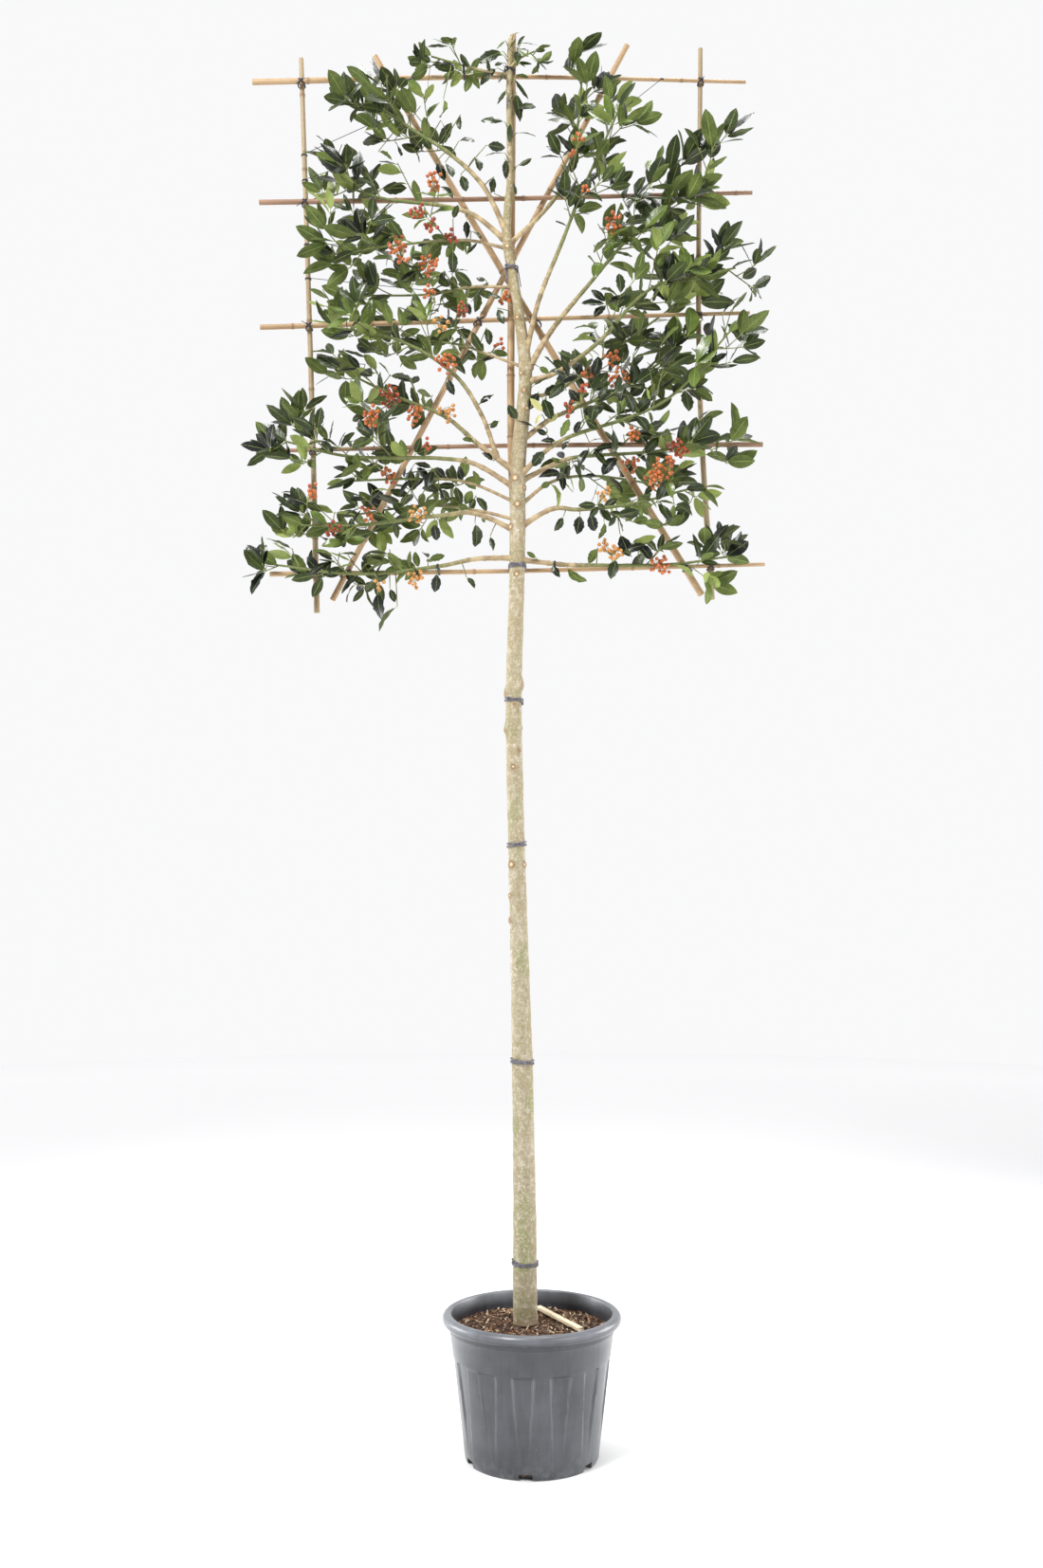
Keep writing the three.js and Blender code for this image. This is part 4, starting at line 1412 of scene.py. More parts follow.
@dataclass
class Cane:
    """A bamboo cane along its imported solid, with raised joints and cut, hollow ends."""

    node: str
    pitch: float
    sides: int
    spacing: float = 0.03
    swelling: float = 0.13
    hollow: float = 0.45
    bore: float = 0.012

    def _joints(self, length: float, draw: Chance) -> list[float]:
        """Places the joints at uneven steps.

        Args:
            length: The cane's length.
            draw: Its chances.

        Returns:
            The places along the cane.
        """
        found, place = [], draw(0.3, 0.9) * self.pitch
        while place < length - 0.015:
            found.append(place)
            place += self.pitch * draw(0.85, 1.15)
        return found

    def build(self, seed: int, finish: Material) -> None:
        """Models the cane and dresses it.

        Args:
            seed: The seed of its own chances.
            finish: Its material.
        """
        limb = Limb.of_node(self.node)
        length = limb.length()
        joints = np.array(self._joints(length, Chance(seed)))
        offsets = np.array([-0.008, -0.0035, -0.0015, 0.0, 0.002, 0.007])
        even = np.arange(self.spacing, length, self.spacing)
        stations = np.unique(np.concatenate([even, (joints[:, None] + offsets).ravel()]).round(4))
        Bench.clear()
        bpy.ops.mesh.primitive_cylinder_add(
            vertices=self.sides, radius=1, depth=length, location=(0, 0, length / 2)
        )
        piece = Bench.start(f"bamboo_{self.node}")
        Bench.pick(piece, lambda middle, normal: abs(normal.z) > 0.9)
        bpy.ops.mesh.inset(thickness=1 - self.hollow, use_individual=True)
        for end in (1, -1):
            Bench.pick(piece, lambda middle, normal: normal.z * end > 0.9 and middle.xy.length < 0.1)
            bpy.ops.mesh.extrude_region_move(TRANSFORM_OT_translate={"value": (0, 0, -end * self.bore)})
        bottom = self.bore + 0.0001
        for station in stations[(stations > bottom) & (stations < length - bottom)]:
            bpy.ops.mesh.select_all(action="SELECT")
            bpy.ops.mesh.bisect(plane_co=(0, 0, station), plane_no=(0, 0, 1))
        Bench.end(piece)
        self._shape(piece, limb, length, joints)
        Bench.smooth(piece, 45)
        hand_over(piece, [self.node], finish)

    def _shape(self, piece: Piece, limb: Limb, length: float, joints: Array) -> None:
        """Lays the straight cane along its line, with its taper and the ridges of its joints.

        Args:
            piece: The straight cane, with a radius of one.
            limb: Its line.
            length: Its length.
            joints: The places of its joints along it.
        """
        corners = Bench.corners(piece)
        along = corners[:, 2] - corners[:, 2].min()
        shares = np.clip(along / length, 0, 1)
        middles = limb.at(shares)
        ahead = unit(limb.points[-1] - limb.points[0])
        across = sideways(ahead, 0.0)
        other = np.cross(ahead, across)
        nearest = np.abs(along[:, None] - joints[None, :]).min(1)
        ridge = np.exp(-((nearest / 0.0025) ** 2)) + 0.45 * np.exp(-((nearest / 0.011) ** 2))
        radii = limb.radius(shares) * (0.965 + self.swelling * ridge)
        radii *= 1 - 0.05 * np.exp(-(((nearest - 0.006) / 0.002) ** 2))
        grain = np.column_stack([corners[:, :2] * limb.radii[0], along])
        flat = corners[:, :2] * radii[:, None]
        Bench.move(piece, middles + flat[:, :1] * across + flat[:, 1:2] * other)
        Bench.mark(piece, "grain", grain + np.array([0, 0, limb.points[0][0] * 7]))
        Bench.mark(piece, "joint", np.exp(-((nearest / 0.006) ** 2)))


@dataclass
class CaneFrame:
    """The trellis of bamboo canes behind the crown."""

    canes: Sequence[tuple[str, CaneTone, float, int]] = (
        ("centre", CaneTone.TAN, 0.24, 18),
        ("level_1", CaneTone.TAN, 0.2, 16),
        ("level_2", CaneTone.BROWN, 0.19, 16),
        ("level_3", CaneTone.TAN, 0.2, 16),
        ("level_4", CaneTone.BROWN, 0.18, 16),
        ("level_5", CaneTone.TAN, 0.2, 16),
        ("upright_left", CaneTone.PALE, 0.17, 16),
        ("upright_right", CaneTone.PALE, 0.23, 16),
        ("slant_right", CaneTone.TAN, 0.19, 16),
        ("slant_left", CaneTone.TAN, 0.18, 16),
    )

    def build(self) -> None:
        """Models every cane and dresses it."""
        finishes = {
            tone: CaneFinish(f"bamboo_{tone.name.lower()}", *tone.value).material() for tone in CaneTone
        }
        for seed, (name, tone, pitch, sides) in enumerate(self.canes, 31):
            Cane(f"cane_{name}", pitch, sides).build(seed, finishes[tone])


# ---------------- ties


def belt(first: Array, r1: float, second: Array, r2: float, corners: int) -> Array:
    """Draws a line tight round two circles in a plane.

    Args:
        first: The middle of one circle.
        r1: Its radius.
        second: The middle of the other.
        r2: Its radius.
        corners: Points round each of them.

    Returns:
        The points of the line, once round.
    """
    apart = second - first
    facing = math.atan2(apart[1], apart[0])
    touch = math.acos(max(-1.0, min(1.0, (r1 - r2) / float(np.linalg.norm(apart)))))
    arcs = [
        (first, r1, facing + touch, facing - touch + 2 * math.pi),
        (second, r2, facing - touch, facing + touch),
    ]
    line = []
    for centre, radius, start, end in arcs:
        for turn in np.linspace(start, end, corners):
            line.append(centre + radius * np.array([math.cos(turn), math.sin(turn)]))
    return np.array(line)


@dataclass
class TrunkTies:
    """Tubes wound twice round the trunk and the centre cane, with a third turn slanting over them."""

    count: int = 5
    tube: float = 0.0019
    turns: Sequence[tuple[float, float]] = ((-0.0022, 0.001), (0.0022, -0.001), (0.0012, 0.007))
    corners: int = 24
    straps: Sequence[tuple[float, float, float]] = ((-1.0, 0.034, 0.0032), (1.0, 0.048, 0.0018))

    def _band(self, node: str, level: float, tilt: float) -> Array:
        """Gives a closed line round a packed band.

        Args:
            node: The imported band.
            level: How far above the band's middle the line runs.
            tilt: How far the line climbs from one side to the other.

        Returns:
            The points of the line.
        """
        low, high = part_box(node)
        height = (low.z + high.z) / 2
        circles = []
        for limb in (Limb.of_node("trunk"), Limb.of_node("cane_centre")):
            share = limb.share_at(height)
            circles += [limb.at(share)[:2], float(limb.radius(share)) + self.tube + 0.0006]
        flat = belt(*circles, self.corners)
        climb = tilt * (flat[:, 0] - circles[0][0]) / circles[1]
        return np.column_stack([flat, height + level + climb])

    def _straps(self, heap: Heap) -> None:
        """Hangs the loose ends of the highest tie down both sides of the trunk.

        Args:
            heap: Where they go.
        """
        low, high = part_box(f"trunk_tie_{self.count}")
        trunk = Limb.of_node("trunk")
        for side, drop, thick in self.straps:
            heights = np.linspace((low.z + high.z) / 2, high.z - 0.01 - drop, 6)
            shares = np.array([trunk.share_at(z) for z in heights])
            line = trunk.at(shares) + np.outer(trunk.radius(shares) + thick * 0.8, (side, -0.25, 0))
            heap.tube(line, np.linspace(thick, thick * 0.7, 6), 8)

    def build(self) -> None:
        """Models the ties and dresses them."""
        finish = RubberFinish("tie_rubber").material()
        for k in range(1, self.count + 1):
            node = f"trunk_tie_{k}"
            draw = Chance(70 + k)
            flip = 1 if draw(-1, 1) > 0 else -1
            bands = [self._band(node, level, tilt * flip) for level, tilt in self.turns]
            loops = [(band, np.array([self.tube])) for band in bands]
            piece = Bench.sweep(f"tie_tube_{k}", loops, 8, closed=True)
            Bench.smooth(piece, 60)
            hand_over(piece, [node], finish)
        heap = Heap()
        self._straps(heap)
        hand_over(heap.piece("tie_straps", [finish]))


# Where loops hold a bough to a level cane: across and up.
BOUGH_TIES = (
    (-0.234, 2.157), (-0.501, 2.166), (0.058, 2.171), (0.419, 2.622), (-0.173, 3.436), (0.337, 3.431)
)  # fmt: skip


# Where wires run from an upright cane to a shoot: across and up, at both ends.
WIRES = (
    ((-0.58, 3.265), (-0.406, 3.298)), ((-0.577, 3.198), (-0.509, 3.196)), ((-0.571, 3.031), (-0.387, 2.972)),
    ((-0.565, 2.935), (-0.218, 2.898)), ((-0.561, 2.716), (-0.409, 2.676)), ((0.337, 3.431), (0.232, 3.321)),
)  # fmt: skip


@dataclass
class Lashings:
    """Dark wire that binds the canes where they cross, holds boughs to them and draws shoots outward."""

    canopy: "Canopy"
    wire: float = 0.0012
    thin: float = 0.0009
    tube: float = 0.0018
    hug: float = 2.5
    corners: int = 20
    strands: Sequence[float] = (-0.0014, 0.0014)
    meet: float = 0.006
    hold_reach: float = 0.09
    levels: Sequence[str] = tuple(f"cane_level_{k}" for k in range(1, 6))
    uprights: Sequence[str] = ("cane_upright_left", "cane_upright_right")
    slants: Sequence[str] = ("cane_slant_left", "cane_slant_right")

    def _meeting(self, first: Limb, second: Limb) -> tuple[float, float, float]:
        """Finds where two lines pass, as seen from the front.

        Args:
            first: One of them.
            second: The other.

        Returns:
            A share of each, and how near they come.
        """
        shares = np.linspace(0, 1, 400)
        apart = first.at(shares)[:, None, ::2] - second.at(shares)[None, :, ::2]
        away = np.linalg.norm(apart, axis=2)
        i, j = np.unravel_index(away.argmin(), away.shape)
        return float(shares[i]), float(shares[j]), float(away[i, j])

    def _cross(
        self, heap: Heap, first: Limb, second: Limb, steep: float, wire: float, slot: int, draw: Chance
    ) -> None:
        """Winds wire crosswise round two canes where they meet.

        Args:
            heap: Where the wire goes.
            first: The level cane.
            second: The cane or trunk that crosses it.
            steep: How far the turns lean along the second, as a slope.
            wire: The radius of the wire.
            slot: Its material slot.
            draw: The chances of its loose ends.
        """
        one, two, away = self._meeting(first, second)
        if away > self.meet:
            return
        ends = [
            (limb.at(share), limb.ahead(share), float(limb.radius(share)))
            for limb, share in ((first, one), (second, two))
        ]
        front = min(place[1] - radius for place, _, radius in ends) - wire
        back = max(place[1] + radius for place, _, radius in ends) + wire
        turns = np.linspace(0, 2 * math.pi, self.corners + 1)
        wide, deep = (np.sign(v) * np.abs(v) ** (2 / self.hug) for v in (np.cos(turns), np.sin(turns)))
        for lean in (-steep, steep):
            along = unit((ends[0][1] + lean * ends[1][1]) * (1, 0, 1))
            slants = [float(np.linalg.norm(np.cross(along, ahead))) for _, ahead, _ in ends]
            half = max(end[2] / max(0.3, slant) for end, slant in zip(ends, slants))
            aside = np.cross(along, (0, 1, 0))
            for strand in self.strands:
                middle = ends[1][0] * (1, 0, 1) + aside * strand * wire / self.wire
                line = middle + np.outer(wide * (half + wire), along)
                line[:, 1] = (front + back) / 2 + deep * (back - front) / 2
                heap.tube(line, np.full(len(line), wire), 6, slot)
        for side in (-1, 1):
            aim = np.array([side * draw(0.3, 1.0), -draw(0.1, 0.5), draw(-1.0, 0.6)]) * draw(0.012, 0.022)
            start = np.array([ends[1][0][0], front, ends[1][0][2]])
            heap.tube(start + np.outer(np.linspace(0, 1, 4), aim), np.full(4, wire * 0.8), 5, slot)

    def _hold(self, heap: Heap, x: float, z: float) -> None:
        """Loops a wire round a level cane and the limb nearest to it.

        Args:
            heap: Where the wire goes.
            x: The place across.
            z: The place up.
        """
        canes = [Limb.of_node(name) for name in self.levels]
        found = []
        for limbs in (canes, [plan.limb for plan in self.canopy.plans]):
            shares = np.linspace(0, 1, 300)
            lines = [limb.at(shares) for limb in limbs]
            aways = [np.hypot(line[:, 0] - x, line[:, 2] - z) for line in lines]
            k = int(np.argmin([away.min() for away in aways]))
            share = float(shares[aways[k].argmin()])
            found += [limbs[k].at(share)[1:], float(limbs[k].radius(share)) + self.wire]
        if np.linalg.norm(found[2] - found[0]) > self.hold_reach:
            return
        flat = belt(*found, 8)
        flat = np.vstack([flat, flat[:1]])
        for strand in self.strands:
            line = np.column_stack([np.full(len(flat), x + strand), flat])
            heap.tube(line, np.full(len(flat), self.wire), 6)

    def _draw_out(self, heap: Heap, start: tuple[float, float], end: tuple[float, float]) -> None:
        """Runs a thin wire from a cane to a shoot.

        Args:
            heap: Where the wire goes.
            start: The place that the cane is nearest to, across and up.
            end: The place that the shoot is nearest to.
        """
        canes = [Limb.of_node(name) for name in (*self.uprights, self.levels[-1])]
        shares = np.linspace(0, 1, 300)
        spots = np.vstack([np.column_stack([cane.at(shares), cane.radius(shares)]) for cane in canes])
        x, y, z, radius = spots[np.hypot(spots[:, 0] - start[0], spots[:, 2] - start[1]).argmin()]
        turns = np.linspace(0, 2 * math.pi, 12)
        for strand in (-0.001, 0.001):
            ring = np.column_stack([np.cos(turns), np.sin(turns), np.zeros(12)]) * (radius + self.thin)
            heap.tube(ring + (x, y, z + strand), np.full(12, self.thin * 1.3), 5)
        ends = np.vstack([shoot.line for shoot in self.canopy.shoots])
        near = ends[np.hypot(ends[:, 0] - end[0], ends[:, 2] - end[1]).argmin()]
        line = np.linspace((x, y - radius - self.thin, z), near, 6)
        heap.tube(line, np.full(6, self.thin), 5)

    def build(self) -> None:
        """Models the bindings and dresses them."""
        heap = Heap()
        draw = Chance(9)
        levels = [Limb.of_node(name) for name in self.levels]
        for name in (*self.uprights, *self.slants):
            second = Limb.of_node(name)
            for level in levels[:: 1 if name in self.uprights else 2]:
                self._cross(heap, level, second, 1.0, self.wire, 0, draw)
        trunk = Limb.of_node("trunk")
        self._cross(heap, levels[0], trunk, 0.16, self.tube, 1, draw)
        self._cross(heap, levels[-1], trunk, 0.5, self.wire, 0, draw)
        for place in BOUGH_TIES:
            self._hold(heap, *place)
        for start, end in WIRES:
            self._draw_out(heap, start, end)
        dark = RubberFinish("tie_wire", tint(38, 38, 44), tint(66, 64, 72)).material()
        piece = heap.piece("lashings", [dark, RubberFinish("tie_rubber_2").material()])
        Bench.smooth(piece, 60)
        hand_over(piece)


# ---------------- crown


@dataclass(frozen=True)
class LimbRow:
    """Where one limb runs and how it branches.

    Attributes:
        name: The end of its bough's and its spray's names.
        start: The height at which it leaves the trunk's middle.
        knee: Where it turns outward.
        tip: Where its bare bough ends, if it has one.
        bend: Where its foliage bends.
        end: The far end of its foliage.
        girth: Its radius at the trunk.
        twigs: The number of its side twigs.
        spread: The longest of them.
        hang: How far they droop.
        parent: The limb that it forks from, if not the trunk.
        share: Where on that limb.
    """

    name: str
    start: float
    knee: Point
    tip: Point | None
    bend: Point | None
    end: Point
    girth: float
    twigs: int
    spread: float
    hang: float
    parent: str = ""
    share: float = 0.0


LIMB_ROWS = (
    LimbRow("left_1", 2.194, (-0.14, -0.018, 2.187), (-0.225, -0.026, 2.168), (-0.43, -0.034, 2.146),
            (-0.64, -0.04, 2.168), 0.007, 8, 0.08, -0.1),
    LimbRow("left_2", 2.26, (-0.144, -0.026, 2.301), (-0.234, -0.048, 2.289), (-0.44, -0.058, 2.262),
            (-0.57, -0.062, 2.262), 0.007, 6, 0.1, 0.2),
    LimbRow("left_3", 2.29, (-0.15, 0.02, 2.322), None, (-0.28, 0.072, 2.345),
            (-0.45, 0.122, 2.335), 0.0055, 6, 0.1, 0.3),
    LimbRow("left_4", 2.333, (-0.165, -0.006, 2.386), None, (-0.3, -0.012, 2.392),
            (-0.47, -0.016, 2.385), 0.0055, 5, 0.09, 0.3),
    LimbRow("left_5", 2.368, (-0.144, -0.034, 2.425), (-0.225, -0.062, 2.43), (-0.46, -0.078, 2.432),
            (-0.61, -0.074, 2.47), 0.007, 8, 0.085, 0.1),
    LimbRow("left_6", 2.408, (-0.132, 0.004, 2.483), (-0.216, 0.008, 2.556), (-0.35, 0.004, 2.612),
            (-0.49, 0.0, 2.68), 0.008, 7, 0.12, 0.2),
    LimbRow("left_7", 0.0, (-0.125, -0.026, 2.551), (-0.192, -0.044, 2.648), (-0.33, -0.06, 2.73),
            (-0.505, -0.066, 2.765), 0.006, 7, 0.12, 0.2, parent="left_6", share=0.13),
    LimbRow("left_8", 2.681, (-0.112, 0.014, 2.722), None, (-0.192, 0.06, 2.764),
            (-0.38, 0.122, 2.805), 0.005, 6, 0.11, 0.2),
    LimbRow("left_9", 2.89, (-0.15, 0.012, 2.896), None, (-0.262, 0.076, 2.902),
            (-0.49, 0.118, 2.915), 0.005, 6, 0.11, 0.3),
    LimbRow("left_10", 2.992, (-0.165, -0.016, 3.006), None, (-0.32, -0.04, 2.985),
            (-0.5, -0.06, 2.95), 0.005, 7, 0.12, 0.2),
    LimbRow("left_11", 3.01, (-0.146, 0.006, 3.081), (-0.218, 0.01, 3.106), (-0.38, 0.012, 3.128),
            (-0.5, 0.014, 3.17), 0.007, 7, 0.105, 0.1),
    LimbRow("left_12", 3.036, (-0.126, -0.01, 3.155), (-0.206, -0.022, 3.228), (-0.31, -0.028, 3.295),
            (-0.405, -0.03, 3.36), 0.007, 8, 0.11, 0.1),
    LimbRow("top_left", 3.453, (-0.12, -0.014, 3.452), None, (-0.19, -0.022, 3.466),
            (-0.255, -0.028, 3.482), 0.004, 3, 0.065, 0.2),
    LimbRow("top_right", 3.47, (-0.03, -0.014, 3.484), None, None,
            (0.008, -0.024, 3.498), 0.004, 3, 0.05, 0.6),
    LimbRow("right_1", 2.19, (0.082, -0.012, 2.174), (0.145, -0.02, 2.171), (0.36, -0.03, 2.172),
            (0.49, -0.034, 2.19), 0.007, 5, 0.08, 0.15),
    LimbRow("right_2", 2.27, (0.056, -0.026, 2.313), (0.115, -0.04, 2.307), (0.25, -0.054, 2.318),
            (0.385, -0.062, 2.352), 0.0075, 5, 0.09, 0.7),
    LimbRow("right_3", 2.322, (0.046, 0.01, 2.388), None, (0.15, 0.062, 2.42),
            (0.35, 0.122, 2.41), 0.0065, 5, 0.105, 0.1),
    LimbRow("right_4", 2.386, (0.07, 0.012, 2.442), (0.11, 0.006, 2.452), (0.29, -0.014, 2.46),
            (0.455, -0.024, 2.48), 0.007, 8, 0.11, 0.1),
    LimbRow("right_5", 2.398, (0.034, -0.036, 2.455), (0.084, -0.048, 2.484), (0.33, -0.062, 2.575),
            (0.5, -0.052, 2.76), 0.007, 9, 0.115, 0.1),
    LimbRow("right_6", 2.489, (0.05, 0.01, 2.553), (0.095, 0.012, 2.574), (0.25, 0.008, 2.645),
            (0.39, 0.0, 2.775), 0.007, 8, 0.115, 0.1),
    LimbRow("right_7", 2.604, (0.06, 0.008, 2.622), None, (0.2, 0.07, 2.742),
            (0.43, 0.122, 2.93), 0.0065, 7, 0.115, 0.1),
    LimbRow("right_8", 2.643, (0.062, -0.02, 2.662), (0.165, -0.04, 2.73), (0.3, -0.054, 2.865),
            (0.51, -0.062, 2.915), 0.0075, 8, 0.12, 0.1),
    LimbRow("right_9", 2.662, (0.045, 0.004, 2.77), (0.15, 0.008, 2.905), (0.275, 0.013, 3.05),
            (0.455, 0.016, 3.18), 0.0085, 9, 0.125, 0.1),
    LimbRow("right_10", 2.7, (0.018, -0.034, 2.84), (0.078, -0.048, 2.99), (0.125, -0.054, 3.11),
            (0.225, -0.06, 3.335), 0.007, 7, 0.1, 0.1),
    LimbRow("right_11", 3.0, (0.016, 0.002, 3.072), (0.072, 0.008, 3.146), (0.112, 0.008, 3.27),
            (0.13, 0.004, 3.44), 0.0065, 6, 0.08, 0.1),
)  # fmt: skip


class BerryTone(Enum):
    """How ripe a cluster of berries is: the colour and the shade of its material."""

    PALE = (tint(208, 152, 82), tint(180, 114, 52))
    ORANGE = (tint(196, 108, 46), tint(158, 72, 28))
    RED = (tint(176, 74, 34), tint(128, 42, 20))


@dataclass(frozen=True)
class Cluster:
    """A cluster of berries: its ripeness, its place across and up, and its number of berries."""

    tone: BerryTone
    x: float
    z: float
    berries: int


PALE, ORANGE, RED = BerryTone.PALE, BerryTone.ORANGE, BerryTone.RED
CLUSTERS = tuple(Cluster(*row) for row in (
    (ORANGE, -0.243, 3.118, 10), (RED, -0.313, 3.059, 7), (RED, -0.25, 3.016, 5), (RED, -0.204, 3.007, 5),
    (ORANGE, -0.334, 2.959, 12), (ORANGE, -0.319, 2.922, 3), (ORANGE, -0.254, 2.93, 11),
    (ORANGE, -0.266, 2.848, 4), (RED, -0.169, 2.824, 5), (ORANGE, -0.061, 2.836, 6),
    (ORANGE, -0.068, 2.782, 3), (PALE, -0.205, 2.745, 6), (ORANGE, -0.212, 2.671, 13),
    (PALE, -0.193, 2.566, 8), (RED, -0.356, 2.603, 14), (ORANGE, -0.296, 2.561, 11),
    (ORANGE, -0.403, 2.517, 10), (RED, -0.252, 2.476, 3), (ORANGE, -0.355, 2.396, 9),
    (ORANGE, -0.498, 2.367, 5), (ORANGE, -0.402, 2.287, 5), (RED, -0.49, 2.246, 5),
    (PALE, -0.282, 2.287, 9), (PALE, -0.287, 2.137, 9), (PALE, -0.377, 2.118, 3),
    (ORANGE, 0.116, 3.225, 3), (ORANGE, 0.101, 3.191, 3), (ORANGE, 0.132, 3.091, 2),
    (ORANGE, 0.2, 3.029, 13), (ORANGE, 0.203, 2.713, 6), (ORANGE, 0.22, 2.652, 12),
    (ORANGE, 0.143, 2.664, 5), (RED, 0.124, 2.574, 3), (ORANGE, 0.248, 2.481, 5), (RED, 0.362, 2.457, 11),
    (ORANGE, 0.25, 2.432, 7), (ORANGE, 0.321, 2.408, 13), (ORANGE, 0.29, 2.367, 12),
    (PALE, 0.178, 2.335, 5), (PALE, 0.165, 2.222, 4), (PALE, 0.203, 2.19, 7), (ORANGE, 0.32, 2.166, 13),
    (RED, -0.008, 2.469, 4),
))  # fmt: skip


# Small leaves straight off the leader: across and up, at the foot and at the tip.
LEADER_LEAVES = (
    (-0.04, 3.51, 0.025, 3.497), (-0.042, 3.473, 0.002, 3.491), (-0.042, 3.443, -0.008, 3.447),
    (-0.086, 3.462, -0.137, 3.433), (-0.072, 3.506, -0.134, 3.483), (-0.066, 3.535, -0.091, 3.52),
    (-0.046, 3.551, -0.033, 3.562), (-0.07, 3.495, -0.096, 3.507), (-0.067, 3.476, -0.092, 3.468),
    (-0.064, 3.405, -0.087, 3.369), (-0.045, 3.434, -0.001, 3.395), (-0.039, 3.398, -0.028, 3.328),
    (-0.037, 3.352, 0.007, 3.37), (-0.067, 3.318, -0.124, 3.335), (-0.054, 3.318, -0.047, 3.269),
    (-0.037, 3.29, 0.01, 3.285), (-0.067, 3.236, -0.115, 3.244), (-0.067, 3.222, -0.058, 3.175),
    (-0.036, 3.203, -0.003, 3.219), (-0.093, 3.129, -0.103, 3.161), (-0.04, 3.122, -0.036, 3.155),
    (-0.067, 3.448, -0.084, 3.426), (-0.048, 3.485, -0.014, 3.472), (-0.086, 2.83, -0.07, 2.79),
    (-0.07, 2.85, -0.115, 2.872), (-0.006, 2.6, 0.026, 2.566), (0.004, 2.628, 0.036, 2.652),
)  # fmt: skip


# Leaves on short stalks off the bare boughs: across and up, at the foot and at the tip, and their tone.
BOUGH_LEAVES = (
    (0.067, 2.707, 0.101, 2.686, 0), (0.167, 2.695, 0.164, 2.647, 0), (0.067, 2.661, 0.037, 2.693, 0),
    (0.089, 2.625, 0.034, 2.628, 0), (0.018, 2.616, -0.001, 2.571, 0), (0.136, 2.582, 0.15, 2.553, 0),
    (0.219, 2.565, 0.228, 2.608, 0), (0.006, 2.524, -0.027, 2.553, 0), (0.166, 2.5, 0.14, 2.529, 0),
    (0.039, 2.49, 0.015, 2.5, 0), (0.105, 2.49, 0.119, 2.521, 0), (0.062, 2.476, 0.027, 2.478, 0),
    (0.095, 2.476, 0.072, 2.461, 0), (0.218, 2.445, 0.175, 2.411, 0), (0.095, 2.433, 0.086, 2.397, 0),
    (0.168, 2.418, 0.14, 2.409, 0), (0.352, 2.314, 0.403, 2.296, 0), (0.147, 2.296, 0.152, 2.248, 0),
    (0.12, 2.291, 0.115, 2.245, 0), (0.218, 2.241, 0.24, 2.188, 0), (0.265, 2.222, 0.297, 2.184, 0),
    (0.051, 2.172, 0.068, 2.141, 0), (0.153, 2.693, 0.134, 2.657, 1), (0.086, 2.664, 0.063, 2.623, 1),
    (0.126, 2.616, 0.096, 2.587, 1), (0.027, 2.601, 0.051, 2.553, 1), (0.115, 2.584, 0.075, 2.558, 1),
    (0.096, 2.553, 0.079, 2.505, 1), (-0.036, 2.541, -0.057, 2.577, 1), (0.14, 2.538, 0.1, 2.507, 1),
    (0.041, 2.519, 0.029, 2.5, 1), (0.199, 2.507, 0.223, 2.447, 1), (0.034, 2.454, 0.003, 2.418, 1),
    (0.105, 2.433, 0.138, 2.401, 1), (0.079, 2.287, 0.062, 2.252, 1), (0.179, 2.273, 0.186, 2.222, 1),
    (0.165, 2.213, 0.142, 2.176, 1), (0.013, 2.189, -0.01, 2.202, 1), (0.21, 2.185, 0.202, 2.136, 1),
    (0.088, 2.167, 0.122, 2.11, 1), (0.018, 2.678, 0.04, 2.661, 2), (0.143, 2.471, 0.173, 2.49, 2),
    (0.072, 2.433, 0.053, 2.449, 2), (0.07, 2.562, 0.041, 2.541, 3), (0.027, 2.558, 0.003, 2.538, 3),
    (-0.180, 3.325, -0.189, 3.290, 1), (-0.223, 3.368, -0.213, 3.313, 1), (-0.230, 3.310, -0.199, 3.263, 0),
    (-0.184, 3.253, -0.146, 3.268, 0), (-0.143, 3.216, -0.124, 3.181, 1), (-0.114, 3.248, -0.071, 3.236, 1),
    (-0.095, 3.169, -0.095, 3.129, 1), (-0.218, 3.201, -0.198, 3.159, 1),
    (-0.179, 3.173, -0.162, 3.136, 1), (-0.234, 3.154, -0.198, 3.131, 1), (-0.239, 3.201, -0.218, 3.156, 0),
    (-0.300, 3.231, -0.268, 3.208, 1), (-0.348, 3.255, -0.319, 3.221, 0), (-0.387, 3.226, -0.348, 3.208, 1),
    (-0.164, 3.062, -0.169, 3.018, 0), (-0.198, 3.052, -0.186, 3.082, 0), (-0.152, 3.025, -0.126, 3.008, 1),
    (-0.198, 2.971, -0.198, 2.919, 1), (-0.164, 2.966, -0.152, 2.988, 0), (-0.114, 2.904, -0.138, 2.912, 1),
    (-0.164, 2.853, -0.157, 2.823, 0), (-0.114, 2.791, -0.104, 2.752, 1), (-0.273, 3.102, -0.261, 3.067, 1),
    (-0.211, 2.635, -0.197, 2.594, 0), (-0.094, 2.596, -0.130, 2.587, 0), (-0.080, 2.533, -0.108, 2.519, 0),
    (-0.232, 2.374, -0.215, 2.340, 0), (-0.191, 2.374, -0.175, 2.328, 1), (-0.141, 2.275, -0.127, 2.217, 1),
    (-0.103, 2.244, -0.098, 2.210, 1), (-0.162, 2.138, -0.138, 2.117, 1), (-0.236, 2.148, -0.231, 2.102, 0),
    (-0.241, 2.268, -0.236, 2.227, 0), (-0.142, 2.485, -0.168, 2.502, 1), (-0.096, 2.436, -0.118, 2.458, 0),
    (-0.382, 2.100, -0.377, 2.033, 0), (-0.332, 2.062, -0.388, 2.014, 0), (-0.351, 2.109, -0.339, 2.076, 1),
    (-0.292, 2.162, -0.271, 2.133, 1),
)  # fmt: skip


